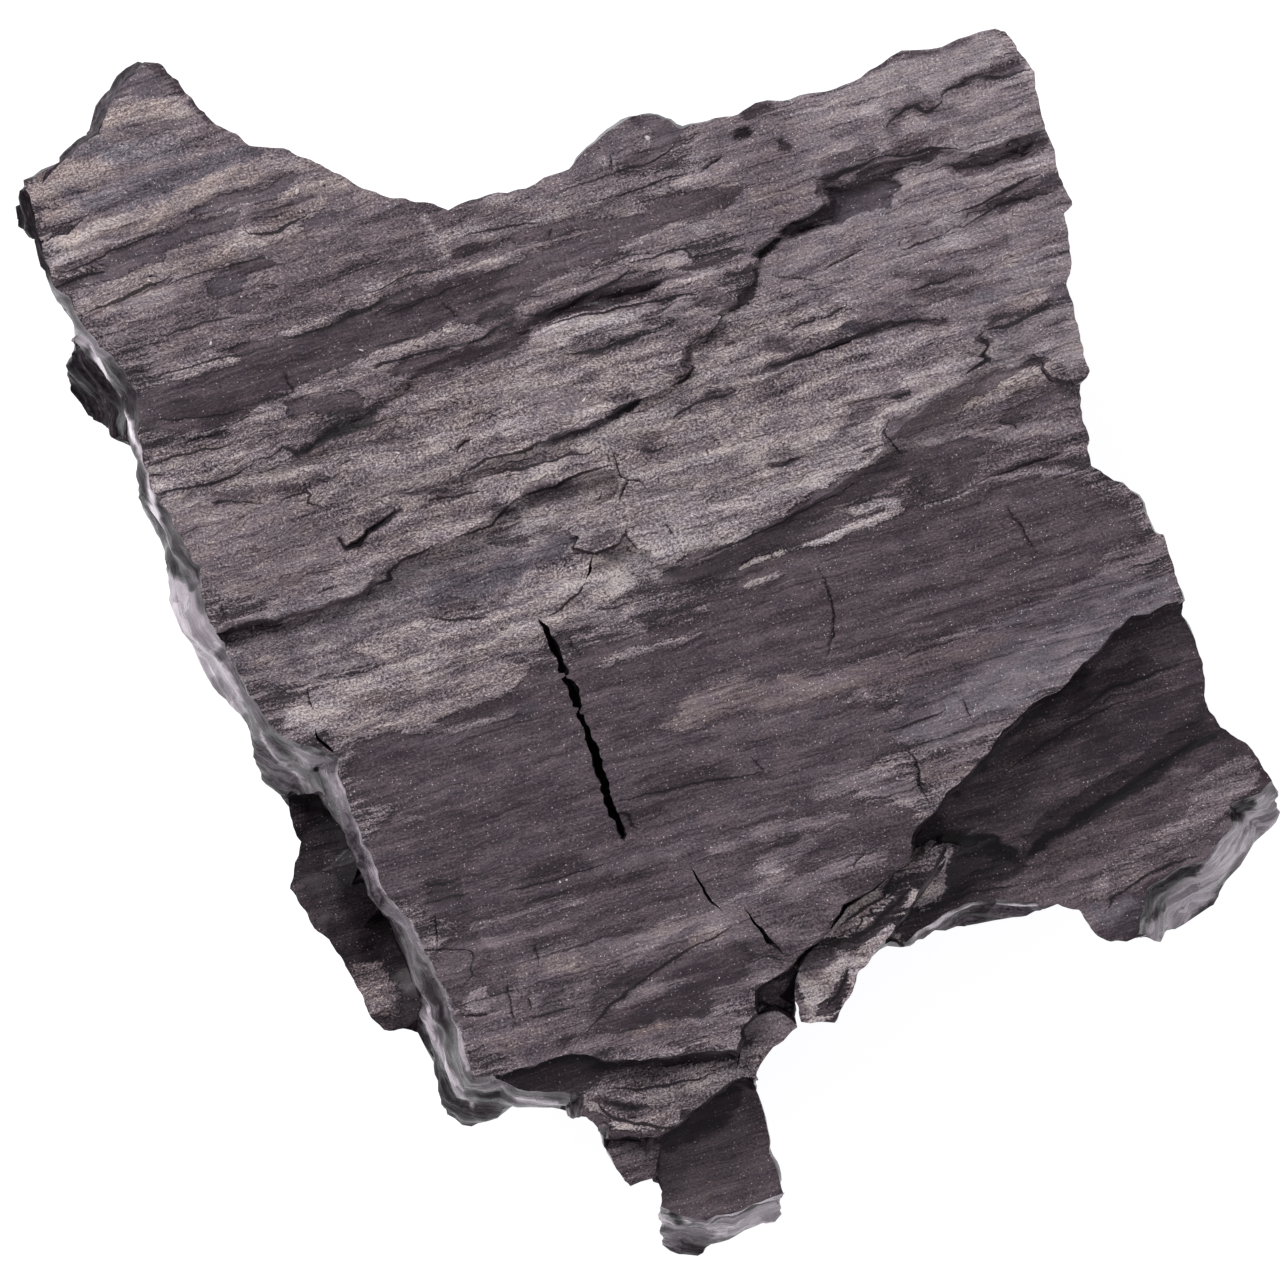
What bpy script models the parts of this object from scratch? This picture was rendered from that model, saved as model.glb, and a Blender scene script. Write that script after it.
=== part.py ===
"""A broken slab of raw jet, in one piece.

The slab is thin plates of fossil wood lying on each other. Each plate is an outline at its
own height. Its top stays level inside the outline and falls away outside it, and the
upper surface is the highest plate at every point, less the cracks. The sides are rings that
draw in on the way down, and the underside is flat where the slab rests, with facets that
rise to the foot of the sides.

Outlines are in millimetres, seen from above, with +X to the right and +Y away.
"""
import math
from collections import namedtuple

import bmesh
import bpy
import numpy as np
from mathutils import Vector, geometry, noise

MM = 0.001

# Heights of the main levels above the surface that the slab rests on, in millimetres.
UPPER_LEVEL = 18.5
MIDDLE_LEVEL = 18.0
SLAB_LEVEL = 17.0
FLAP_LEVEL = 15.9
FRONT_LEVEL = 15.5
INNER_STEP_LEVEL = 14.5
OUTER_STEP_LEVEL = 13.6
TONGUE_LEVEL = 12.4
BACK_LEDGE_LEVEL = 8.6
SIDE_LEDGE_LEVEL = 6.8
FRONT_LEDGE_LEVEL = 8.0
LOWEST_LEDGE = 5.6

# Steepness: how far a surface drops for each millimetre outwards.
THIN_EDGE = 4.0
CLIFF = 10.0
OPEN_WALL = 3.3
WORN_EDGE = 1.5
CLIFF_REACH = 0.06
CLIFF_WIDTH = 0.13
HOLLOW_BANK = 0.3

# How the foot of a drop is looked for, outwards from its lip.
FOOT_SEARCH = 1.6
FOOT_STEP = 0.05
FOOT_STEEPNESS = 2.5

# The wood grain runs up to the right.
GRAIN_ANGLE = math.radians(17)
GRAIN_RIDGE = 0.16
GRAIN_LENGTH = 7.0
GRAIN_WIDTH = 1.1
SWELL = 0.35
SWELL_LENGTH = 11.0
LEDGE_ROUGHNESS = 0.7
LEDGE_GRIT = 2.4
LEDGE_BLEND = 2.0

# The slices of the noise that each kind of relief is cut from.
RIDGE_SLICE = 3.7
SWELL_SLICE = 8.2
GRIT_SLICE = 1.3
FACET_SLICE = 5.1
SLIDE_SLICE = 0.5
SHIFT_SLICE = 9.5

# Spacing of the points of the faceted surface.
ALONG_GRAIN = 1.9
ACROSS_GRAIN = 1.05
RIM_SPACING = 1.1
UNDERSIDE_SPACING = 3.4
CLEAR_OF_LINES = 0.42
CLEAR_OF_FEET = 0.07
SMALLEST_STEP = 0.07
LARGEST_NUDGE = 0.6

# The sides: rings on the way down. Each has its share of the drop and how many small steps
# it draws in from the ring above it. A lot of steps for little drop makes a ledge.
WALL_RINGS = ((0.12, 3), (0.36, 6), (0.43, 16), (0.68, 5), (0.86, 8), (1.0, 14))
CORNER_PULL = 0.3
CREEP = 0.024
SCOOP = 0.9
SCOOP_LENGTH = 8.0
SCOOP_HEIGHT = 6.0
RING_WANDER = 0.1
WANDER_LENGTH = 2.7
THINNEST_EDGE = 1.4

# The underside: facets around the flat that it rests on, as heading in degrees, distance
# from the middle where the facet starts, and rise for each millimetre outwards.
REST_MIDDLE = (-2.0, 3.0)
FACETS = (
    (5, 13.0, 0.27),
    (58, 12.0, 0.24),
    (115, 11.0, 0.21),
    (172, 14.0, 0.16),
    (222, 11.0, 0.19),
    (270, 13.5, 0.17),
    (318, 12.0, 0.21),
)
FACET_ROUGHNESS = 0.5
FACET_LENGTH = 5.0
CLEAR_OF_FOOT = 0.7
CLEAR_OF_RIDGES = 1.4
FAR_OUT = 44.0

# The west rim of the slab, from its back corner to its front corner.
WEST_RIM = [
    (-30.9, 22.4), (-30.2, 19.7), (-29.9, 18.5), (-29.6, 17.7), (-28.8, 17.0), (-28.3, 15.9),
    (-27.2, 14.6), (-26.2, 13.5), (-25.4, 12.2), (-25.4, 10.5), (-25.2, 8.9), (-24.6, 7.3),
    (-23.8, 6.2), (-23.1, 4.7), (-22.4, 3.7), (-22.1, 1.6), (-21.5, 0.3), (-20.6, -1.4),
    (-19.8, -2.7), (-18.9, -4.2), (-18.0, -4.9), (-16.5, -5.5), (-15.4, -5.8), (-15.5, -6.6),
    (-14.8, -8.5), (-13.9, -10.6), (-13.1, -12.7), (-11.5, -14.4), (-11.1, -15.7),
    (-10.4, -16.9), (-9.2, -19.3), (-8.7, -22.0),
]
UPPER_RIM_POINTS = 11
MIDDLE_RIM_POINTS = 17

# The lip of the upper plate, from the west rim to the east edge.
UPPER_LIP = [
    (-25.0, 8.3), (-23.0, 8.1), (-21.0, 8.0), (-19.5, 8.6), (-17.0, 8.2), (-14.5, 7.7),
    (-12.0, 7.4), (-10.0, 7.9), (-8.2, 8.8), (-6.1, 9.5), (-3.3, 10.5), (-1.9, 11.2),
    (-0.6, 11.9), (0.1, 12.1), (1.3, 12.8), (2.0, 13.4), (2.2, 14.6), (3.2, 15.2),
    (3.6, 15.7), (3.6, 16.4), (4.3, 16.8), (5.0, 17.7), (5.2, 18.7), (5.6, 19.4),
    (6.6, 20.2), (7.4, 20.9), (8.2, 21.2), (8.6, 21.9), (8.4, 22.8), (10.0, 23.1),
    (11.0, 23.6), (12.0, 23.9), (13.3, 24.1), (14.6, 24.5), (16.5, 24.4), (18.2, 24.9),
    (20.0, 25.6), (22.0, 26.2),
]

# The lip of the middle plate, from the west rim to the east edge. It ends in a rounded
# flake near the east edge.
MIDDLE_LIP = [
    (-21.1, 0.4), (-20.2, 0.8), (-17.8, 1.2), (-16.3, 1.5), (-14.6, 2.2), (-13.5, 3.1),
    (-11.9, 4.2), (-9.7, 5.0), (-8.2, 6.0), (-6.6, 6.9), (-5.9, 7.5), (-4.1, 8.0),
    (-3.1, 8.4), (-1.6, 8.6), (-1.1, 7.9), (-1.5, 7.0), (-2.8, 6.3), (-4.0, 5.5),
    (-3.3, 4.6), (-2.6, 4.4), (-1.0, 5.0), (-0.2, 4.5), (0.9, 3.9), (2.2, 3.7), (4.9, 4.9),
    (8.4, 7.0), (10.4, 8.2), (12.2, 10.0), (14.0, 11.7), (15.9, 13.0), (17.0, 13.8),
    (17.2, 14.4), (16.8, 15.2), (17.9, 14.8), (19.4, 14.5), (20.2, 13.2), (21.7, 12.9),
    (24.0, 13.0),
]

# The front of the slab, from its west corner to the nook beside the flap.
FRONT_SCARP = [
    (-7.2, -21.7), (-6.2, -21.3), (-5.0, -21.0), (-3.6, -20.6), (-2.6, -21.0), (-1.6, -21.1),
    (0.4, -20.9), (2.8, -20.6), (4.5, -20.5), (4.8, -19.3), (5.5, -18.6), (5.4, -17.6),
    (6.2, -17.0), (7.2, -15.9),
]

# The scarp between the slab and the lower steps, from the nook up to the east edge.
EAST_SCARP = [
    (8.6, -14.6), (9.7, -13.1), (11.4, -12.0), (13.0, -10.9), (13.2, -9.6), (13.9, -8.9),
    (14.6, -8.4), (15.0, -7.6), (15.6, -7.2), (16.6, -6.0), (17.7, -4.7), (18.5, -4.0),
    (19.4, -3.2), (20.5, -2.7), (21.2, -2.0), (21.8, -1.2), (22.7, -0.4), (23.4, 0.5),
    (24.3, 1.3), (25.1, 1.4), (25.9, 1.8), (26.8, 2.1), (29.0, 2.5),
]

# Corners well outside the stone, which close the outlines that run off its back and east.
# Between them the outlines follow the worn west flank of the horn.
OUTSIDE_BACK = [
    (29.0, 34.0), (-22.0, 34.0), (-24.9, 28.9), (-26.2, 27.7), (-26.9, 26.5), (-27.4, 25.2),
    (-28.4, 24.6), (-29.6, 23.5), (-31.3, 23.4), (-31.3, 22.8),
]

FLAP = [
    (15.1, -10.4), (14.2, -10.9), (13.4, -11.4), (12.0, -12.4), (10.3, -13.6), (9.3, -14.9),
    (7.9, -16.4), (7.5, -17.2), (7.4, -18.2), (7.6, -20.0), (10.0, -20.0), (11.0, -16.8),
    (12.0, -15.1), (13.2, -13.3), (14.5, -11.5),
]

FLAP_LUMP = [
    (4.7, -20.9), (4.9, -19.4), (5.6, -18.8), (6.5, -18.6), (7.1, -18.9), (8.0, -19.6),
    (6.8, -21.2), (5.5, -21.9),
]

NOOK = [(5.0, -16.5), (8.2, -15.4), (8.2, -19.5), (6.0, -20.5), (4.6, -19.5)]

FRONT_STEP = [
    (-7.7, -21.8), (-6.5, -22.6), (-4.5, -22.7), (-3.1, -22.8), (-3.2, -23.9), (-2.8, -25.0),
    (-1.0, -25.0), (0.5, -25.0), (1.1, -24.7), (1.6, -24.4), (2.2, -23.7), (3.2, -22.9),
    (4.0, -22.3), (4.8, -21.9), (5.5, -21.7), (6.6, -21.2), (5.0, -19.8), (0.0, -20.0),
    (-6.0, -20.6),
]

TONGUE_SHOULDER = [
    (-3.0, -24.6), (-1.0, -24.5), (0.5, -24.5), (0.7, -25.4), (0.4, -26.4), (0.5, -27.6),
    (-0.5, -28.1), (-2.2, -27.5), (-3.0, -25.6),
]

TONGUE = [
    (0.2, -24.0), (3.0, -22.0), (5.4, -21.2), (6.6, -21.6), (7.3, -25.0), (7.7, -27.9),
    (6.8, -27.9), (5.4, -28.5), (4.2, -29.0), (3.0, -29.2), (1.5, -29.0), (0.8, -28.6),
    (0.2, -28.2), (-0.2, -27.0),
]

OUTER_STEP = [
    (24.0, 3.0), (30.0, 3.0), (31.0, -3.0), (32.6, -6.0), (31.6, -7.1), (30.9, -7.7),
    (29.3, -8.3), (29.5, -9.4), (28.2, -11.0), (26.9, -11.4), (25.2, -12.6), (24.7, -15.0),
    (24.4, -16.0), (22.2, -15.9), (21.3, -14.4), (20.6, -13.7), (19.6, -13.1), (17.6, -13.1),
    (16.0, -13.2), (14.9, -13.9), (13.7, -14.7), (12.5, -15.5), (11.0, -15.0), (9.0, -13.0),
    (12.0, -10.0), (16.0, -5.0), (20.0, -1.0),
]

INNER_STEP = [
    (24.0, 3.0), (30.0, 3.0), (30.6, -4.3), (28.9, -4.4), (27.6, -5.4), (25.6, -6.9),
    (22.8, -8.4), (21.0, -10.0), (18.8, -11.4), (18.3, -10.6), (17.5, -10.0), (15.8, -10.4),
    (14.5, -11.6), (11.0, -12.0), (12.0, -9.5), (16.0, -5.0), (20.0, -1.0),
]

# The ledges low on the west side. Their outlines run past the edge of the stone.
BACK_KNOB = [
    (-31.0, 22.5), (-31.6, 22.7), (-32.5, 22.0), (-32.5, 21.1), (-31.8, 20.4), (-31.0, 20.7),
    (-30.4, 21.2), (-30.6, 22.0),
]

BACK_LEDGE = [
    (-30.4, 20.2), (-31.3, 20.3), (-31.1, 18.5), (-30.6, 17.0), (-29.9, 15.9), (-29.1, 15.8),
    (-28.9, 16.7), (-29.7, 17.6), (-30.1, 18.7),
]

SIDE_LEDGE = [
    (-28.6, 15.0), (-29.2, 15.1), (-29.8, 14.3), (-30.3, 13.2), (-30.0, 12.2), (-28.9, 11.2),
    (-27.6, 9.8), (-25.9, 8.9), (-25.8, 9.9), (-26.0, 11.2), (-26.4, 12.3), (-27.2, 13.4),
    (-28.0, 14.5),
]

LOW_LEDGE = [
    (-25.3, 8.2), (-26.1, 8.5), (-26.7, 7.2), (-26.1, 5.8), (-25.2, 4.7), (-24.5, 4.2),
    (-24.0, 5.4), (-24.6, 6.6), (-25.1, 7.7),
]

FRONT_LEDGE = [
    (-16.6, -7.9), (-17.7, -7.8), (-18.8, -8.4), (-18.6, -9.7), (-18.2, -10.4),
    (-18.4, -11.2), (-18.7, -12.6), (-18.1, -13.9), (-17.3, -15.0), (-16.6, -15.7),
    (-15.8, -16.7), (-15.2, -18.1), (-14.6, -19.4), (-13.6, -20.5), (-12.2, -20.4),
    (-11.7, -20.3), (-11.6, -18.2), (-12.2, -16.6), (-12.7, -14.9), (-14.2, -11.9),
    (-15.3, -9.8), (-16.0, -8.7),
]

# The edge of the stone seen from above, clockwise from the tip of the horn. Low parts of the
# edge stand a little further out than the rims above them.
EDGE = [
    (-25.6, 29.0), (-24.4, 28.9), (-22.9, 27.2), (-21.7, 25.8), (-20.8, 25.3), (-19.8, 24.7),
    (-18.3, 24.6), (-16.3, 23.7), (-15.4, 23.2), (-13.7, 22.4), (-12.5, 22.1), (-10.6, 21.8),
    (-9.9, 21.5), (-8.8, 22.0), (-7.4, 22.3), (-5.5, 22.8), (-4.0, 23.6), (-2.3, 25.0),
    (-0.7, 26.2), (0.4, 26.3), (1.2, 25.9), (1.7, 25.5), (3.5, 26.0), (4.3, 26.1), (5.4, 26.8),
    (6.0, 26.9), (7.1, 27.0), (8.1, 27.3), (9.0, 27.4), (10.7, 28.1), (11.7, 28.8),
    (12.7, 29.4), (14.6, 29.6), (16.6, 30.4), (17.5, 30.6), (18.0, 30.4), (19.3, 28.4),
    (19.4, 27.5), (19.9, 25.5), (20.4, 24.5), (20.6, 23.2), (21.2, 21.7), (20.9, 21.3),
    (21.0, 20.5), (21.2, 18.8), (21.0, 17.8), (21.4, 16.4), (21.8, 14.5), (22.1, 13.5),
    (21.7, 12.8), (21.8, 11.6), (22.2, 10.1), (22.1, 9.7), (22.3, 8.8), (22.9, 8.3),
    (23.8, 7.9), (24.6, 7.2), (25.5, 5.3), (25.9, 5.2), (26.4, 3.5), (27.0, 1.7), (26.9, 1.3),
    (27.3, 0.8), (27.6, 0.0), (28.1, -1.9), (28.1, -2.7), (28.3, -3.3), (28.9, -4.3),
    (30.2, -5.2), (31.0, -6.1), (31.6, -7.0), (32.2, -9.0), (31.4, -9.9), (30.6, -10.7),
    (28.7, -13.5), (27.0, -14.8), (25.8, -15.2), (23.4, -15.2), (22.7, -14.9), (22.1, -14.1),
    (21.8, -13.6), (20.7, -13.3), (19.0, -13.9), (16.3, -14.5), (14.0, -15.1), (12.0, -15.4),
    (11.3, -15.8), (10.7, -16.6), (10.2, -17.9), (9.4, -19.2), (8.7, -19.2), (7.8, -19.1),
    (7.4, -18.1), (7.6, -19.4), (6.6, -20.3), (5.8, -21.1), (5.5, -21.8), (5.6, -22.8),
    (6.1, -24.7), (6.3, -26.1), (6.6, -27.3), (6.9, -27.9), (6.8, -29.2), (5.6, -29.9),
    (4.5, -30.3), (2.9, -30.9), (2.2, -31.3), (1.6, -31.3), (1.1, -30.9), (0.7, -30.2),
    (0.7, -29.2), (0.8, -27.9), (0.3, -27.1), (-0.8, -27.4), (-1.1, -27.2), (-1.6, -26.4),
    (-1.9, -25.7), (-2.5, -24.5), (-3.0, -23.9), (-3.5, -23.9), (-5.2, -23.6), (-6.6, -23.5),
    (-7.8, -24.1), (-8.9, -24.6), (-9.3, -24.5), (-10.1, -24.2), (-10.7, -22.4),
    (-11.2, -21.0), (-11.6, -20.0), (-12.3, -19.9), (-13.4, -19.9), (-14.1, -19.1),
    (-14.7, -17.8), (-15.3, -16.4), (-16.1, -15.3), (-16.9, -14.6), (-17.6, -13.5),
    (-18.1, -12.6), (-17.8, -11.2), (-17.6, -10.3), (-18.0, -9.5), (-18.2, -8.5),
    (-19.2, -7.3), (-19.7, -6.3), (-20.1, -4.7), (-20.6, -3.9), (-21.7, -2.8), (-22.9, -1.0),
    (-23.8, 1.1), (-24.0, 3.0), (-24.2, 3.9), (-24.6, 5.1), (-25.3, 6.1), (-25.7, 7.2),
    (-25.4, 8.2), (-25.4, 9.0), (-25.7, 9.5), (-27.1, 10.4), (-28.3, 11.7), (-29.2, 12.6),
    (-29.4, 13.2), (-29.1, 14.3), (-28.7, 15.3), (-28.9, 16.1), (-29.3, 16.5), (-29.8, 17.4),
    (-30.4, 18.7), (-30.6, 20.0), (-31.4, 20.7), (-31.8, 21.2), (-31.8, 21.7), (-31.4, 22.1),
    (-31.0, 22.5), (-31.1, 23.0), (-30.5, 23.2), (-29.9, 23.6), (-29.3, 23.9), (-29.1, 24.4),
    (-28.4, 24.9), (-28.2, 25.1), (-27.9, 26.4), (-27.6, 27.2), (-26.6, 28.3),
]

# Cracks, as points with the half width there. A crack is as many times deeper than its half
# width as its last value says.
CRACKS = {
    "long split": (
        [(-5.45, 1.15, 0.04), (-5.05, 0.4, 0.14), (-4.75, 0.0, 0.2), (-4.35, -1.0, 0.25),
         (-3.9, -2.0, 0.24), (-3.5, -3.0, 0.25), (-3.2, -4.0, 0.18), (-2.8, -5.0, 0.2),
         (-2.45, -6.0, 0.28), (-2.2, -7.0, 0.27), (-1.85, -8.0, 0.2), (-1.45, -9.0, 0.18),
         (-1.15, -9.8, 0.19), (-1.05, -10.05, 0.04)], 11.0),
    "flap seam": (
        [(14.2, -10.3, 0.05), (13.3, -11.1, 0.14), (11.8, -12.1, 0.18), (10.0, -13.3, 0.2),
         (9.0, -14.8, 0.2), (7.6, -16.1, 0.18), (7.0, -16.7, 0.05)], 8.0),
    "front crack": (
        [(2.0, -10.8, 0.03), (2.3, -11.6, 0.07), (2.8, -12.4, 0.09), (3.2, -13.0, 0.09),
         (3.9, -13.7, 0.05)], 10.0),
    "nook crack": (
        [(4.9, -13.3, 0.03), (5.4, -14.2, 0.08), (6.2, -15.1, 0.1), (6.8, -15.6, 0.08)], 10.0),
    "west crack": (
        [(-16.7, -4.3, 0.03), (-16.4, -4.9, 0.09), (-15.9, -5.4, 0.1), (-15.6, -5.6, 0.06)],
        9.0),
    "plate crack": (
        [(-2.6, 4.35, 0.05), (-2.8, 3.6, 0.1), (-3.05, 2.9, 0.03)], 9.0),
    "flake seam": (
        [(5.6, 12.9, 0.03), (7.4, 13.9, 0.06), (9.3, 14.6, 0.09), (10.9, 15.2, 0.08),
         (12.6, 15.8, 0.06), (14.2, 16.0, 0.03)], 5.0),
}

# Long hollows where a thin plate has lifted off, each an outline and a depth.
HOLLOWS = {
    "back hollow": (
        [(5.9, 19.4), (6.8, 20.0), (7.6, 20.7), (8.5, 21.0), (8.9, 21.9), (8.8, 22.7),
         (10.3, 22.8), (12.2, 23.6), (13.3, 23.8), (12.5, 22.9), (12.3, 22.0), (10.8, 21.5),
         (9.0, 20.5), (7.5, 20.0)], 0.5),
    "dark band": (
        [(-14.4, 11.2), (-11.5, 13.4), (-8.5, 15.1), (-5.6, 16.0), (-3.2, 17.2), (1.8, 18.1),
         (0.5, 17.3), (-3.0, 16.4), (-6.0, 15.0), (-9.0, 13.2), (-12.0, 12.0)], 0.35),
    "east hollow": (
        [(15.0, 23.7), (17.0, 24.0), (19.4, 25.0), (19.3, 24.4), (17.0, 23.4), (15.4, 23.2)],
        0.4),
}

Plate = namedtuple("Plate", "name level tilt edge outline")

PLATES = [
    Plate("slab", SLAB_LEVEL, (-0.008, 0.004), CLIFF,
          WEST_RIM + FRONT_SCARP + EAST_SCARP + OUTSIDE_BACK),
    Plate("middle plate", MIDDLE_LEVEL, (-0.006, -0.006), THIN_EDGE,
          WEST_RIM[:MIDDLE_RIM_POINTS] + MIDDLE_LIP + OUTSIDE_BACK),
    Plate("upper plate", UPPER_LEVEL, (0.0, -0.012), THIN_EDGE,
          WEST_RIM[:UPPER_RIM_POINTS] + UPPER_LIP + OUTSIDE_BACK),
    Plate("flap", FLAP_LEVEL + 0.2, (0.03, 0.03), CLIFF, FLAP),
    Plate("flap lump", FLAP_LEVEL, (0.0, 0.0), THIN_EDGE, FLAP_LUMP),
    Plate("nook", FLAP_LEVEL - 1.3, (0.0, 0.0), CLIFF, NOOK),
    Plate("front step", FRONT_LEVEL, (0.0, 0.0), CLIFF, FRONT_STEP),
    Plate("tongue shoulder", FRONT_LEVEL - 1.5, (0.0, 0.0), CLIFF, TONGUE_SHOULDER),
    Plate("tongue", TONGUE_LEVEL, (0.0, 0.0), CLIFF, TONGUE),
    Plate("outer step", OUTER_STEP_LEVEL, (0.0, 0.0), CLIFF, OUTER_STEP),
    Plate("inner step", INNER_STEP_LEVEL, (-0.004, 0.03), THIN_EDGE, INNER_STEP),
]
LEDGES = [
    Plate("back knob", BACK_LEDGE_LEVEL, (0.0, 0.0), WORN_EDGE, BACK_KNOB),
    Plate("back ledge", BACK_LEDGE_LEVEL, (0.0, 0.0), WORN_EDGE, BACK_LEDGE),
    Plate("side ledge", SIDE_LEDGE_LEVEL, (0.0, 0.0), WORN_EDGE, SIDE_LEDGE),
    Plate("low ledge", SIDE_LEDGE_LEVEL, (0.0, 0.0), WORN_EDGE, LOW_LEDGE),
    Plate("front ledge", FRONT_LEDGE_LEVEL, (0.0, 0.0), WORN_EDGE, FRONT_LEDGE),
]


def closed_segments(outline):
    """Start and end of each side of a closed outline."""
    start = np.array(outline, dtype=float)
    return start, np.roll(start, -1, axis=0)


def inside(points, outline):
    """Whether each point lies inside a closed outline."""
    start, end = closed_segments(outline)
    x, y = points[:, 0:1], points[:, 1:2]
    spans = (start[:, 1] > y) != (end[:, 1] > y)
    rise = end[:, 1] - start[:, 1]
    rise = np.where(rise == 0, 1e-12, rise)
    crossing = start[:, 0] + (y - start[:, 1]) * (end[:, 0] - start[:, 0]) / rise
    return (spans & (x < crossing)).sum(axis=1) % 2 == 1


def distance_to_sides(points, start, end):
    """Distance from each point to the nearest of a set of segments."""
    side = end - start
    length_squared = np.maximum((side ** 2).sum(axis=1), 1e-12)
    offset = points[:, None, :] - start[None, :, :]
    share = np.clip((offset * side).sum(axis=2) / length_squared, 0.0, 1.0)
    nearest = start + share[:, :, None] * side
    return np.linalg.norm(points[:, None, :] - nearest, axis=2).min(axis=1)


def distance_outside(points, outline):
    """Distance from each point to a closed outline, and 0 inside it."""
    start, end = closed_segments(outline)
    away = distance_to_sides(points, start, end)
    return np.where(inside(points, outline), 0.0, away)


def grain_coordinates(x, y):
    """Distance along and across the wood grain."""
    along = x * math.cos(GRAIN_ANGLE) + y * math.sin(GRAIN_ANGLE)
    across = y * math.cos(GRAIN_ANGLE) - x * math.sin(GRAIN_ANGLE)
    return along, across


def grain_relief(x, y):
    """Long low ridges of the grain over a broad swell."""
    along, across = grain_coordinates(x, y)
    ridge = noise.noise(Vector((along / GRAIN_LENGTH, across / GRAIN_WIDTH, RIDGE_SLICE)))
    swell = noise.noise(Vector((x / SWELL_LENGTH, y / SWELL_LENGTH, SWELL_SLICE)))
    return GRAIN_RIDGE * ridge + SWELL * swell


def roughness(points, length, layer):
    """Noise at each point, with features of about the given length."""
    return np.array([noise.noise(Vector((x / length, y / length, layer))) for x, y in points])


def top_height(points):
    """Height of the upper surface: the highest plate at each point, less the hollows."""
    away = [distance_outside(points, plate.outline) for plate in PLATES + LEDGES]
    on_open_wall = np.min(away, axis=0) > CLIFF_REACH
    height = np.full(len(points), LOWEST_LEDGE)
    for plate, distance in zip(PLATES + LEDGES, away):
        edge = plate.edge
        if plate in PLATES:
            edge = np.where(on_open_wall, OPEN_WALL, max(plate.edge, THIN_EDGE))
        level = plate.level + points @ np.array(plate.tilt)
        height = np.maximum(height, level - edge * distance)
    for outline, depth in HOLLOWS.values():
        start, end = closed_segments(outline)
        within = inside(points, outline) * distance_to_sides(points, start, end)
        height -= depth * np.clip(within / HOLLOW_BANK, 0.0, 1.0)
    relief = np.array([grain_relief(x, y) for x, y in points])
    grit = roughness(points, LEDGE_GRIT, GRIT_SLICE)
    low = np.clip((OUTER_STEP_LEVEL - height) / LEDGE_BLEND - 1.0, 0.0, 1.0)
    return height + relief * (1.0 - low) + LEDGE_ROUGHNESS * grit * low


def base_height(points):
    """Height of the underside: flat where the slab rests, and facets around it."""
    offset = points - np.array(REST_MIDDLE)
    height = np.zeros(len(points))
    for heading, start, rise in FACETS:
        direction = (math.cos(math.radians(heading)), math.sin(math.radians(heading)))
        height = np.maximum(height, rise * (offset @ np.array(direction) - start))
    rough = roughness(points, FACET_LENGTH, FACET_SLICE)
    return height + FACET_ROUGHNESS * rough * np.clip(height, 0.0, 1.0)


def divided(line, spacing, closed=False):
    """A line with points added so that no side is longer than the spacing."""
    points = [np.array(point, dtype=float) for point in line]
    ends = points[1:] + points[:1] if closed else points[1:]
    result = []
    for start, end in zip(points, ends):
        pieces = max(1, math.ceil(np.linalg.norm(end - start) / spacing))
        result += [start + (end - start) * step / pieces for step in range(pieces)]
    if not closed:
        result.append(points[-1])
    return np.array(result)


def outward_normals(ring):
    """Unit vectors that point out of a closed ring, whichever way round it runs."""
    after, before = np.roll(ring, -1, axis=0), np.roll(ring, 1, axis=0)
    tangent = after - before
    area = (ring[:, 0] * after[:, 1] - after[:, 0] * ring[:, 1]).sum()
    turn = 1.0 if area > 0 else -1.0
    normal = np.column_stack((tangent[:, 1], -tangent[:, 0])) * turn
    return normal / np.maximum(np.linalg.norm(normal, axis=1, keepdims=True), 1e-9)


def foot_points(ring):
    """Points where the drop outside a rim meets the surface below it."""
    normals = outward_normals(ring)
    reaches = np.arange(0.0, FOOT_SEARCH, FOOT_STEP)
    feet = []
    for point, normal in zip(ring, normals):
        track = point + reaches[:, None] * normal
        height = top_height(track)
        steep = np.abs(np.diff(height)) / FOOT_STEP > FOOT_STEEPNESS
        drop = 0
        while drop < len(steep) and steep[drop]:
            drop += 1
        if reaches[drop] > SMALLEST_STEP:
            feet.append(point + normal * reaches[drop])
    return feet


class Sheet:
    """Points and lines of one surface, triangulated together inside its edge."""

    def __init__(self, edge):
        self.edge = np.array(edge)
        self.points = []
        self.lines = []
        self.depths = {}
        self.add_line(self.edge, closed=True)

    def add_line(self, line, closed=False, depths=None):
        first = len(self.points)
        self.points += [tuple(point) for point in line]
        last = len(self.points)
        self.lines += [(index, index + 1) for index in range(first, last - 1)]
        if closed:
            self.lines.append((last - 1, first))
        for step, depth in enumerate(depths or []):
            self.depths[first + step] = depth

    def add_points(self, points, clearance):
        """Adds the loose points that are inside the edge and clear of every line."""
        points = np.array(points)
        known = np.array(self.points)
        start = np.array([known[a] for a, b in self.lines])
        end = np.array([known[b] for a, b in self.lines])
        clear = distance_to_sides(points, start, end) > clearance
        kept = points[clear & inside(points, self.edge)]
        loose = known[len(self.edge):]
        for point in kept:
            if len(loose) == 0 or np.linalg.norm(loose - point, axis=1).min() > clearance * 0.9:
                self.points.append(tuple(point))
                loose = np.vstack((loose, point))

    def triangles(self, height):
        """3-D points and triangles of the surface, with the height function's heights."""
        flat = [Vector(point) for point in self.points]
        result = geometry.delaunay_2d_cdt(flat, self.lines, [], 1, 1e-5)
        corners, faces, origins = result[0], result[2], result[3]
        xy = np.array([(point.x, point.y) for point in corners])
        middles = np.array([xy[list(face)].mean(axis=0) for face in faces])
        kept = [face for face, within in zip(faces, inside(middles, self.edge)) if within]
        z = height(xy)
        for index, origin in enumerate(origins):
            z[index] -= max([self.depths.get(source, 0.0) for source in origin] or [0.0])
        return np.column_stack((xy, z)), kept


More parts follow.
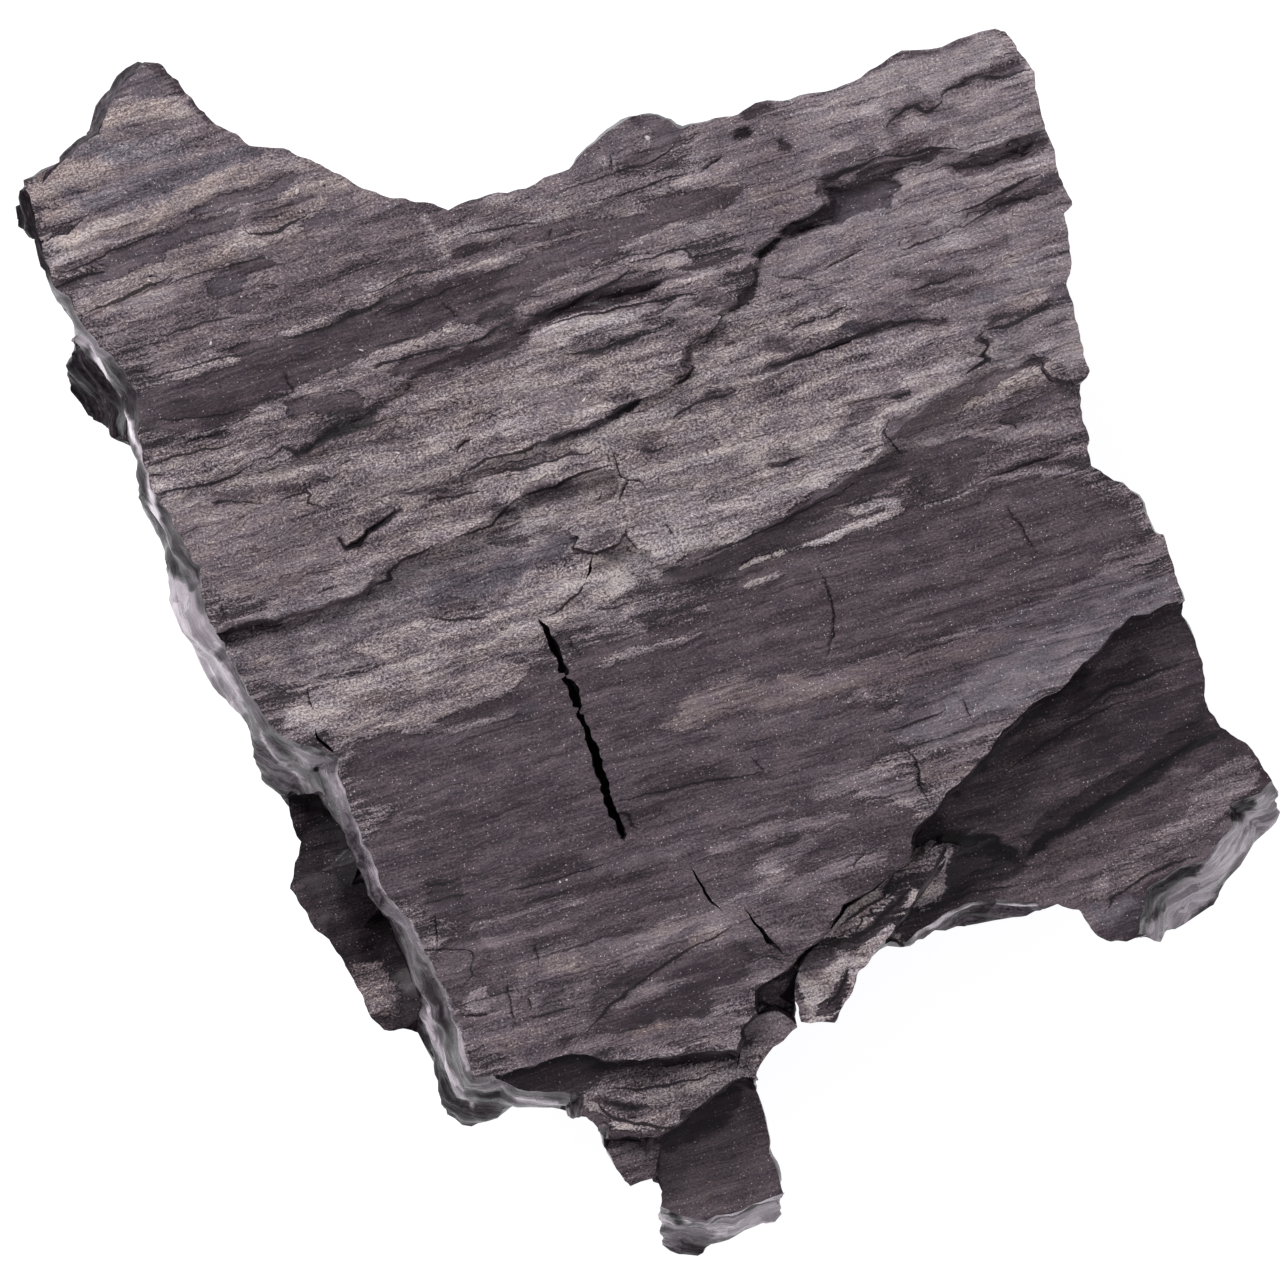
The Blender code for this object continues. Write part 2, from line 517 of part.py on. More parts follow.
def add_crack(sheet, crack, depth_ratio):
    """Adds a crack's two rims and the line of its floor."""
    line = np.array([point[:2] for point in crack])
    half = np.array([point[2] for point in crack])
    tangent = np.gradient(line, axis=0)
    normal = np.column_stack((-tangent[:, 1], tangent[:, 0]))
    normal /= np.linalg.norm(normal, axis=1, keepdims=True)
    rim = np.vstack((line[0], line[1:-1] + normal[1:-1] * half[1:-1, None], line[-1],
                     (line[1:-1] - normal[1:-1] * half[1:-1, None])[::-1]))
    sheet.add_line(rim, closed=True)
    sheet.add_line(line[1:-1], depths=list(half[1:-1] * depth_ratio))


def grain_grid(along_spacing, across_spacing):
    """Points in staggered rows along the grain, each nudged off its place."""
    rows = int(FAR_OUT / across_spacing)
    columns = int(FAR_OUT / along_spacing)
    cosine, sine = math.cos(GRAIN_ANGLE), math.sin(GRAIN_ANGLE)
    points = []
    for row in range(-rows, rows + 1):
        for column in range(-columns, columns + 1):
            slide = noise.noise(Vector((row * 1.7, column * 2.3, SLIDE_SLICE)))
            shift = noise.noise(Vector((row * 2.1, column * 1.3, SHIFT_SLICE)))
            along = (column + 0.5 * (row % 2) + LARGEST_NUDGE * slide) * along_spacing
            across = (row + LARGEST_NUDGE * shift) * across_spacing
            points.append((along * cosine - across * sine, along * sine + across * cosine))
    return points


def upper_surface():
    """The upper surface, from the lip of every plate to the edge of the stone."""
    sheet = Sheet(divided(EDGE, RIM_SPACING, closed=True))
    for crack, depth_ratio in CRACKS.values():
        add_crack(sheet, crack, depth_ratio)
    plate_rims = [divided(plate.outline, RIM_SPACING, closed=True) for plate in PLATES]
    ledge_rims = [divided(plate.outline, RIM_SPACING, closed=True) for plate in LEDGES]
    hollow_rims = [divided(outline, RIM_SPACING, closed=True)
                   for outline, depth in HOLLOWS.values()]
    for rim in plate_rims + ledge_rims + hollow_rims:
        for piece in inner_pieces(rim, sheet.edge):
            sheet.add_line(piece)
    for rim in ledge_rims:
        sheet.add_points(rim + outward_normals(rim) * CLIFF_WIDTH, CLEAR_OF_FEET)
    for rim in hollow_rims:
        sheet.add_points(rim - outward_normals(rim) * HOLLOW_BANK, CLEAR_OF_FEET)
    for rim in plate_rims:
        sheet.add_points(foot_points(rim), CLEAR_OF_FEET)
    sheet.add_points(grain_grid(ALONG_GRAIN, ACROSS_GRAIN), CLEAR_OF_LINES)
    return sheet.triangles(top_height)


def inner_pieces(rim, edge):
    """The stretches of a closed rim that are inside the edge of the stone."""
    within = inside(rim, edge)
    if within.all():
        return [np.vstack((rim, rim[:1]))]
    if not within.any():
        return []
    start = int(np.flatnonzero(~within)[0])
    rim, within = np.roll(rim, -start, axis=0), np.roll(within, -start)
    pieces, piece = [], []
    for point, is_in in zip(rim, within):
        if is_in:
            piece.append(point)
        elif piece:
            pieces.append(np.array(piece))
            piece = []
    if piece:
        pieces.append(np.array(piece))
    return [piece for piece in pieces if len(piece) > 1]


def boundary_loop(triangles):
    """Corner numbers along the open edge of a surface, in order."""
    directed = {(a, b) for face in triangles for a, b in zip(face, face[1:] + face[:1])}
    follow = {a: b for a, b in directed if (b, a) not in directed}
    first = next(iter(sorted(follow)))
    loop = [first]
    while follow[loop[-1]] != first:
        loop.append(follow[loop[-1]])
    return loop


def drawn_in(ring, steps):
    """The next ring down a side: corners draw in the most and notches hardly at all."""
    for step in range(steps):
        before, after = np.roll(ring, 1, axis=0), np.roll(ring, -1, axis=0)
        inward = -outward_normals(ring)
        bend = (before + after) / 2 - ring
        towards = (bend * inward).sum(axis=1, keepdims=True)
        slide = bend - towards * inward
        ring = ring + inward * (np.maximum(towards, 0.0) * CORNER_PULL + CREEP) + slide * 0.5
    return ring


def side_rings(rim):
    """Rings of 3-D points from the edge of the upper surface to the foot of the sides."""
    flat, top = rim[:, :2], rim[:, 2]
    rings = []
    for share, steps in WALL_RINGS:
        flat = drawn_in(flat, steps)
        foot = np.minimum(base_height(flat), top - THINNEST_EDGE)
        middling = math.sin(math.pi * share)
        layer = share * SCOOP_HEIGHT / SCOOP_LENGTH
        scoop = SCOOP * middling * np.abs(roughness(flat, SCOOP_LENGTH, layer))
        wander = RING_WANDER * middling * roughness(flat, WANDER_LENGTH, layer)
        placed = flat - outward_normals(flat) * scoop[:, None]
        drop = (top - foot) * np.clip(share + wander, 0.0, 1.0)
        rings.append(np.column_stack((placed, top - drop)))
    return rings


def rest_outline():
    """Corners of the flat that the slab rests on, where neighbouring facets meet it."""
    middle = np.array(REST_MIDDLE)
    corners = []
    for this, following in zip(FACETS, FACETS[1:] + FACETS[:1]):
        angles = np.radians([this[0], following[0]])
        directions = np.column_stack((np.cos(angles), np.sin(angles)))
        corners.append(middle + np.linalg.solve(directions, [this[1], following[1]]))
    return np.array(corners)


def facet_ridges():
    """The direction, seen from above, of the ridge between each two neighbouring facets."""
    ridges = []
    for this, following in zip(FACETS, FACETS[1:] + FACETS[:1]):
        slopes = [rise * np.array((math.cos(math.radians(heading)),
                                   math.sin(math.radians(heading))))
                  for heading, start, rise in (this, following)]
        across = slopes[0] - slopes[1]
        ridge = np.array((-across[1], across[0])) / np.linalg.norm(across)
        ridges.append(ridge if ridge @ (slopes[0] + slopes[1]) > 0 else -ridge)
    return ridges


def underside(foot):
    """The underside inside the foot of the sides, whose points keep their heights."""
    sheet = Sheet(foot[:, :2])
    corners = rest_outline()
    sheet.add_line(divided(corners, UNDERSIDE_SPACING, closed=True), closed=True)
    for corner, ridge in zip(corners, facet_ridges()):
        line = divided([corner, corner + ridge * FAR_OUT], UNDERSIDE_SPACING)[1:]
        clear = distance_to_sides(line, *closed_segments(foot[:, :2])) > CLEAR_OF_FOOT
        line = line[inside(line, foot[:, :2]) & clear]
        if len(line) > 1:
            sheet.add_line(line)
    sheet.add_points(grain_grid(UNDERSIDE_SPACING, UNDERSIDE_SPACING), CLEAR_OF_RIDGES)
    return sheet.triangles(base_height)


def build_jet():
    """Joins the upper surface, the sides and the underside into one closed mesh."""
    top, top_faces = upper_surface()
    loop = boundary_loop(top_faces)
    rings = side_rings(top[loop])
    mesh = bmesh.new()
    corners = [mesh.verts.new(Vector(point) * MM) for point in top]
    for face in top_faces:
        mesh.faces.new([corners[index] for index in face])
    above = [corners[index] for index in loop]
    for ring in rings:
        below = [mesh.verts.new(Vector(point) * MM) for point in ring]
        for index in range(len(ring)):
            following = (index + 1) % len(ring)
            mesh.faces.new((above[following], above[index], below[index], below[following]))
        above = below
    bottom, bottom_faces = underside(rings[-1])
    placed = list(above)
    placed += [mesh.verts.new(Vector(point) * MM) for point in bottom[len(above):]]
    for face in bottom_faces:
        mesh.faces.new([placed[index] for index in reversed(face)])
    bmesh.ops.delete(mesh, geom=[v for v in mesh.verts if not v.link_faces], context="VERTS")
    bmesh.ops.triangulate(mesh, faces=mesh.faces[:])
    low = Vector(min(v.co[axis] for v in mesh.verts) for axis in range(3))
    high = Vector(max(v.co[axis] for v in mesh.verts) for axis in range(3))
    middle = Vector(((low.x + high.x) / 2, (low.y + high.y) / 2, low.z))
    bmesh.ops.translate(mesh, vec=-middle, verts=mesh.verts[:])
    data = bpy.data.meshes.new("jet")
    mesh.to_mesh(data)
    mesh.free()
    print("jet:", len(data.polygons), "triangles, middle", tuple(round(v / MM, 2) for v in middle))
    return data


def jet_material():
    """Raw jet: a dark brown-black fossil wood, dull where it is weathered."""
    material = bpy.data.materials.new("raw jet")
    material.use_nodes = True
    shader = material.node_tree.nodes["Principled BSDF"]
    shader.inputs["Base Color"].default_value = (0.09, 0.075, 0.08, 1.0)
    shader.inputs["Roughness"].default_value = 0.7
    shader.inputs["Metallic"].default_value = 0.0
    return material


for old in list(bpy.data.objects):
    bpy.data.objects.remove(old, do_unlink=True)

stone = bpy.data.objects.new("jet", build_jet())
stone.data.materials.append(jet_material())
bpy.context.scene.collection.objects.link(stone)
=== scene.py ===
# %% [markdown]
# # A slab of raw jet
#
# Jet is wood that has turned to a black coal-like stone. This slab broke out of its seam as
# a stack of thin plates. Their faces are dull, with a dusty brown-grey film that follows the
# old wood grain. Their broken sides are black and glossy, with shell-like ripples.
#
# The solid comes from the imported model. This script dresses it: it makes a finer skin from
# the solid, sculpts the grain and the flakes in it, and gives it a layered material.

# %% Load the frame
import math

import bmesh
import bpy
import numpy as np
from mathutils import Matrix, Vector, noise
from mathutils.kdtree import KDTree


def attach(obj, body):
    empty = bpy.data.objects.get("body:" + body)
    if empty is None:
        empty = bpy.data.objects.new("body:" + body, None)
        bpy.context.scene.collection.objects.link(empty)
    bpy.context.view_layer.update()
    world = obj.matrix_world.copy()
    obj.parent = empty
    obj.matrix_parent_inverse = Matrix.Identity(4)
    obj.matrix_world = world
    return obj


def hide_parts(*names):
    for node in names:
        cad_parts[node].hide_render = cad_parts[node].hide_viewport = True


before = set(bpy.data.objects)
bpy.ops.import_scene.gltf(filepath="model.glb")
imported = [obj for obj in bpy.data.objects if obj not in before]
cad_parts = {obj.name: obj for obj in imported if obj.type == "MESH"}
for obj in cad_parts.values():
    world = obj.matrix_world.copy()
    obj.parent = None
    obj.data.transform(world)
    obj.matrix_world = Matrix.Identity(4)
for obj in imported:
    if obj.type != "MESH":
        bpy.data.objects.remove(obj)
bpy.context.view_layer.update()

# %% [markdown]
# ## Units and colour
#
# Blender counts in metres and the slab is small, so its sizes are written in millimetres.
# Places on the slab are measured from a mark near its middle. Colours are written as the hex
# values that a colour picker shows, and one function turns them into the linear values that
# the shader needs.

# %% Units and colour
MM = 0.001
MARK = (-0.2, 0.35)
TOP_LEVEL = 17.5


def linear(hex_colour):
    """A colour written as #rrggbb, as linear values for a shader."""
    shares = [int(hex_colour[i:i + 2], 16) / 255 for i in (1, 3, 5)]
    values = [s / 12.92 if s <= 0.04045 else ((s + 0.055) / 1.055) ** 2.4 for s in shares]
    return (*values, 1.0)


def placed(x, y, z):
    """A point given in millimetres from the mark, in metres in the frame."""
    return Vector(((x + MARK[0]) * MM, (y + MARK[1]) * MM, z * MM))


print("mark on the top plate, m:", [round(side, 5) for side in placed(0.0, 0.0, TOP_LEVEL)])

# %% [markdown]
# ## Camera
#
# The slab lies on its flat base and is seen from straight above. A short lens close by would
# spread its sides, and a parallel view would hide them. A long lens half a metre up keeps the
# plates nearly free of perspective, and still shows a little of the west side, which slants
# outwards. The lens is worked out from the width that the view has to cover.

# %% Camera
VIEW_WIDTH = 64.0
VIEW_CENTRE = (-0.325, 0.0)
VIEW_DISTANCE = 500.0
SENSOR = 36.0

scene = bpy.context.scene
camera_data = bpy.data.cameras.new("camera above")
camera_data.sensor_width = SENSOR
camera_data.lens = SENSOR * VIEW_DISTANCE / VIEW_WIDTH
camera = bpy.data.objects.new("camera above", camera_data)
camera.location = placed(*VIEW_CENTRE, TOP_LEVEL + VIEW_DISTANCE)
scene.collection.objects.link(camera)
scene.camera = camera
print("lens, mm:", round(camera_data.lens, 1))

# %% [markdown]
# ## Two helpers for nodes
#
# The sky and every material are trees of nodes. One helper fills the inputs of a node: what
# comes from another node is linked, and a plain value is set. The other adds a node with its
# settings and fills it.

# %% Two helpers for nodes
def fill(node, inputs):
    """Links each input that is given a node or a socket, and sets any other to its value."""
    given = inputs if isinstance(inputs, dict) else dict(enumerate(inputs))
    for name, source in given.items():
        if isinstance(source, bpy.types.Node):
            source = source.outputs[0]
        if isinstance(source, bpy.types.NodeSocket):
            node.id_data.links.new(source, node.inputs[name])
        else:
            node.inputs[name].default_value = source


def add(tree, kind, settings=None, inputs=()):
    """A new node with its settings and its inputs."""
    made = tree.nodes.new("ShaderNode" + kind)
    for name, value in (settings or {}).items():
        setattr(made, name, value)
    fill(made, inputs)
    return made


# %% [markdown]
# ## Light
#
# A glossy black stone shows what is around it, so the surroundings matter as much as the
# lamps. The dome is white near the horizon and dimmer overhead, as in a studio with lamps at
# the sides: level faces then stay dark and slanting sides turn pale. The plain display
# transform keeps white paper white.

# %% Dome
WHITE = "#fdfdff"
DOME_STRENGTH = 0.95
OVERHEAD_SHARE = 0.33
OVERHEAD_FROM = 0.95

scene.view_settings.view_transform = "Standard"
world = bpy.data.worlds.new("white dome")
world.use_nodes = True
sky = world.node_tree
direction = add(sky, "TexCoord").outputs["Generated"]
upwards = add(sky, "SeparateXYZ", {}, [direction]).outputs["Z"]
dome = add(sky, "ValToRGB", {}, [upwards])
horizon, overhead = dome.color_ramp.elements
horizon.color = linear(WHITE)
overhead.color = (*[share * OVERHEAD_SHARE for share in linear(WHITE)[:3]], 1.0)
overhead.position = OVERHEAD_FROM
fill(sky.nodes["Background"], {"Color": dome, "Strength": DOME_STRENGTH})
scene.world = world
print("nodes of the dome:", len(sky.nodes))

# %% [markdown]
# One large soft lamp at the back left leaves thin shadows below the lips of the plates. A
# lamp without a size would make them hard and black.

# %% Lamp
LAMP_SIZE = 0.45
LAMP_PLACE = (-0.55, 0.60, 0.62)
LAMP_POWER = 9.0

lamp_data = bpy.data.lights.new("soft lamp", "AREA")
lamp_data.shape = "SQUARE"
lamp_data.size = LAMP_SIZE
lamp_data.energy = LAMP_POWER
lamp = bpy.data.objects.new("soft lamp", lamp_data)
lamp.location = LAMP_PLACE
lamp.rotation_euler = (-Vector(LAMP_PLACE)).to_track_quat("-Z", "Y").to_euler()
lamp.visible_camera = False
scene.collection.objects.link(lamp)
print("distance of the lamp, m:", round(Vector(LAMP_PLACE).length, 2))

# %% [markdown]
# The table is a grey sheet of matt acrylic lit from below, like a light box. It stays white
# right up to the stone, and hardly takes a shadow. The glow comes from the material itself,
# which is simpler than a lamp below a see-through sheet.

# %% Table
TABLE_SIZE = 4.0
TABLE_GREY = "#8c8c8e"
TABLE_ROUGHNESS = 0.9
TABLE_GLOW = 0.94

half = TABLE_SIZE / 2
table_mesh = bpy.data.meshes.new("table")
table_mesh.from_pydata([(-half, -half, 0), (half, -half, 0), (half, half, 0), (-half, half, 0)],
                       [], [(0, 1, 2, 3)])
table = bpy.data.objects.new("table", table_mesh)
scene.collection.objects.link(table)

acrylic = bpy.data.materials.new("matt acrylic sheet of a light box")
acrylic.use_nodes = True
fill(acrylic.node_tree.nodes["Principled BSDF"],
     {"Base Color": linear(TABLE_GREY), "Roughness": TABLE_ROUGHNESS,
      "Emission Color": linear(WHITE), "Emission Strength": TABLE_GLOW})
table_mesh.materials.append(acrylic)
print("table, m:", TABLE_SIZE)

# %% [markdown]
# ## A finer skin
#
# The solid has a few thousand flat facets, too few for grain and flakes. The skin starts as a
# copy of them, with the corners of neighbouring facets welded. Each facet gets a kind from
# its slope, because plates, broken sides and the base are treated differently from here on.

# %% Facets of the solid
WELD_DISTANCE = 1e-7
PLATE, OPEN, STEEP, BASE = range(4)
PLATE_SLOPE, OPEN_SLOPE, BASE_SLOPE = 0.6, 0.12, -0.5


def welded(data):
    """Corners in millimetres and triangles of a mesh, with shared corners made one."""
    mesh = bmesh.new()
    mesh.from_mesh(data)
    bmesh.ops.remove_doubles(mesh, verts=mesh.verts, dist=WELD_DISTANCE)
    mesh.verts.index_update()
    corners = np.array([tuple(v.co) for v in mesh.verts]) / MM
    faces = np.array([[v.index for v in f.verts] for f in mesh.faces])
    mesh.free()
    return corners, faces


def unit(vectors):
    """The same vectors, each one long."""
    return vectors / np.maximum(np.linalg.norm(vectors, axis=1, keepdims=True), 1e-12)


def face_crosses(corners, faces):
    """A vector at right angles to each face, twice as long as the face is large."""
    a, b, c = (corners[faces[:, i]] for i in range(3))
    return np.cross(b - a, c - a)


corners, faces = welded(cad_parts["jet"].data)
slope = unit(face_crosses(corners, faces))[:, 2]
kinds = np.select([slope > PLATE_SLOPE, slope > OPEN_SLOPE, slope > BASE_SLOPE],
                  [PLATE, OPEN, STEEP], BASE)
print("facets:", len(faces), "and corners:", len(corners))

# %% [markdown]
# A Subdivision Surface modifier would cut every facet alike, put most points where nothing
# happens and round the sharp lips. Instead, an edge that is too long is cut in half, and so
# on until none is. A face with one, two or three cut edges becomes two, three or four.

# %% Cut long edges in half
def edges_of(faces):
    """Every edge once, and the numbers of the three edges of each face."""
    sides = np.sort(np.stack((faces, np.roll(faces, -1, axis=1)), axis=2).reshape(-1, 2), axis=1)
    count = faces.max() + 1
    names, number = np.unique(sides[:, 0] * count + sides[:, 1], return_inverse=True)
    return np.stack((names // count, names % count), axis=1), number.reshape(-1, 3)


def cut_faces(faces, kinds, middles):
    """Replaces each face by smaller ones that use the new middles of its sides."""
    marked = middles >= 0
    count = marked.sum(axis=1)
    lone = np.where(count == 1, marked.argmax(axis=1), 0)
    turn = np.where(count == 2, (~marked).argmax(axis=1), lone)
    order = (turn[:, None] + np.arange(3)) % 3
    a, b, c = np.take_along_axis(faces, order, axis=1).T
    ab, bc, ca = np.take_along_axis(middles, order, axis=1).T
    none, one, two, three = (count == n for n in range(4))
    new = [
        (none, (a, b, c)),
        (one, (a, ab, c)), (one, (ab, b, c)),
        (two, (a, b, bc)), (two, (a, bc, ca)), (two, (ca, bc, c)),
        (three, (a, ab, ca)), (three, (ab, b, bc)), (three, (ca, bc, c)), (three, (ab, bc, ca)),
    ]
    pieces = [np.column_stack([part[chosen] for part in parts]) for chosen, parts in new]
    return np.vstack(pieces), np.concatenate([kinds[chosen] for chosen, parts in new])


def refined(corners, faces, kinds, too_long):
    """Cuts edges in half until none is too long for the kind of face beside it."""
    while True:
        edges, sides = edges_of(faces)
        cut = too_long(corners, edges, sides, kinds)
        if not cut.any():
            return corners, faces, kinds
        middle = np.full(len(edges), -1)
        middle[cut] = len(corners) + np.arange(cut.sum())
        corners = np.vstack((corners, corners[edges[cut]].mean(axis=1)))
        faces, kinds = cut_faces(faces, kinds, middle[sides])


# %% [markdown]
# Wood grain is long and thin, so an edge on a plate may be longer along the grain than across
# it. That puts the points where the detail is. The broken sides show the layers of the wood,
# so their edges are kept short in height.

# %% How long an edge may be
GRAIN_ANGLE = math.radians(17)
FINE_ALONG, FINE_ACROSS = 0.7, 0.26
OPEN_LEVEL, OPEN_UPRIGHT = 0.9, 0.45
STEEP_LEVEL, STEEP_UPRIGHT = 1.8, 1.0
BASE_EDGE = 1.6


def along_across(x, y):
    """Distances along and across the grain, in millimetres."""
    cosine, sine = math.cos(GRAIN_ANGLE), math.sin(GRAIN_ANGLE)
    return x * cosine + y * sine, y * cosine - x * sine


def longer_than_detail(corners, edges, sides, kinds):
    """Edges that are longer than the detail on one of the faces beside them."""
    offset = corners[edges[:, 1]] - corners[edges[:, 0]]
    level = np.hypot(offset[:, 0], offset[:, 1])
    along, across = along_across(offset[:, 0], offset[:, 1])
    plate = (along / FINE_ALONG) ** 2 + (across ** 2 + offset[:, 2] ** 2) / FINE_ACROSS ** 2
    open_side = (level / OPEN_LEVEL) ** 2 + (offset[:, 2] / OPEN_UPRIGHT) ** 2
    steep_side = (level / STEEP_LEVEL) ** 2 + (offset[:, 2] / STEEP_UPRIGHT) ** 2
    base = (offset ** 2).sum(axis=1) / BASE_EDGE ** 2
    measure = np.stack((plate, open_side, steep_side, base))
    size = np.zeros(len(edges))
    for side in range(3):
        np.maximum.at(size, sides[:, side], measure[kinds, sides[:, side]])
    return size > 1.0


corners, faces, kinds = refined(corners, faces, kinds, longer_than_detail)
print("skin:", len(faces), "triangles, of which on plates, open sides, steep sides and base",
      [int((kinds == kind).sum()) for kind in (PLATE, OPEN, STEEP, BASE)])

# %% [markdown]
# ## Cracks, lips and grains
#
# As the old wood dried it shrank, and it shrinks most across the grain, so cracks cut across
# it. The wide ones are in the solid. Hairlines are a tenth of a millimetre wide at most. Each
# is a short line of points, pressed into the skin later as a V.

# %% Hairline cracks
HAIRLINES = [
    # half width, depth, points from end to end
    (0.028, 0.06, [(-30.3, 19.8), (-29.6, 20.2), (-29.0, 20.3), (-28.5, 20.7), (-28.0, 21.1)]),
    (0.021, 0.12, [(-18.1, 13.4), (-17.9, 12.9), (-17.5, 12.3)]),
    (0.021, 0.12, [(-10.1, 16.8), (-9.7, 16.4), (-9.3, 15.9)]),
    (0.036, 0.19, [(-9.5, 9.4), (-9.2, 9.8), (-8.7, 10.0)]),
    (0.025, 0.16, [(-1.8, 9.6), (-1.5, 9.0), (-1.3, 8.3), (-0.9, 8.0), (-0.2, 7.9), (0.1, 7.5)]),
    (0.025, 0.16, [(-0.9, 8.0), (-1.1, 7.5), (-1.4, 7.0)]),
    (0.021, 0.12, [(1.0, 5.9), (1.1, 5.6), (1.3, 5.2)]),
    (0.021, 0.12, [(-1.0, 5.5), (-0.9, 5.1)]),
    (0.048, 0.24, [(-15.4, 5.1), (-15.0, 4.6), (-14.4, 4.8), (-13.9, 5.4), (-13.0, 6.0), (-12.2, 6.5)]),
    (0.018, 0.10, [(-3.8, 0.2), (-3.7, -0.3), (-3.2, -0.9)]),
    (0.032, 0.16, [(-1.6, -8.7), (-1.2, -8.7), (-0.8, -8.9), (-0.6, -9.3), (-0.3, -9.6)]),
    (0.021, 0.14, [(8.6, 3.8), (9.0, 2.9), (9.3, 2.0), (9.4, 1.2), (9.4, 0.3), (9.0, -1.0)]),
    (0.021, 0.14, [(18.1, 6.7), (18.6, 5.9), (19.0, 5.2), (19.7, 4.2)]),
    (0.018, 0.10, [(15.8, -3.0), (16.1, -3.5), (16.3, -3.9)]),
    (0.036, 0.16, [(12.9, -5.4), (13.5, -5.9), (13.7, -6.6), (13.8, -7.4), (14.3, -8.2)]),
    (0.021, 0.12, [(5.3, -5.9), (5.7, -6.3), (6.0, -6.7)]),
    (0.025, 0.14, [(-17.0, -2.5), (-16.9, -2.9), (-16.7, -3.4)]),
    (0.025, 0.12, [(-21.2, 1.8), (-21.1, 1.3), (-21.0, 0.9)]),
    (0.021, 0.12, [(8.8, 18.4), (9.9, 19.0), (10.9, 19.6)]),
    (0.018, 0.10, [(6.2, 18.3), (7.0, 18.1), (8.5, 17.9)]),
    (0.021, 0.12, [(14.7, 27.2), (15.4, 27.6), (16.0, 27.9), (16.6, 28.3)]),
    (0.021, 0.10, [(12.9, -0.8), (14.4, -0.3), (16.0, 0.2)]),
    (0.021, 0.12, [(16.3, 7.8), (17.8, 8.3), (19.3, 8.8), (20.9, 9.4)]),
    (0.025, 0.12, [(11.8, 10.6), (12.2, 10.0), (12.8, 9.2)]),
    (0.021, 0.12, [(-10.6, -13.7), (-10.5, -14.4), (-10.5, -15.2)]),
    (0.021, 0.12, [(-5.6, -15.2), (-5.5, -15.7), (-5.4, -16.2)]),
    (0.025, 0.12, [(-7.0, -17.0), (-6.9, -17.7), (-6.7, -18.5), (-6.5, -19.3)]),
    (0.021, 0.10, [(-9.4, -18.8), (-8.4, -18.8), (-7.3, -18.5)]),
    (0.021, 0.10, [(-5.9, -17.8), (-5.8, -18.6)]),
    (0.018, 0.10, [(10.4, -11.4), (10.7, -10.9), (10.9, -10.5)]),
    (0.021, 0.12, [(-1.8, 24.2), (-1.7, 23.5), (-1.8, 23.2)]),
    (0.018, 0.10, [(-4.7, 20.5), (-4.8, 20.1)]),
    (0.025, 0.12, [(-23.2, 9.8), (-22.4, 10.0), (-21.6, 10.2), (-20.8, 10.4)]),
    (0.025, 0.14, [(2.7, 23.4), (3.2, 23.8), (3.9, 24.2)]),
]
print("hairline cracks:", len(HAIRLINES))
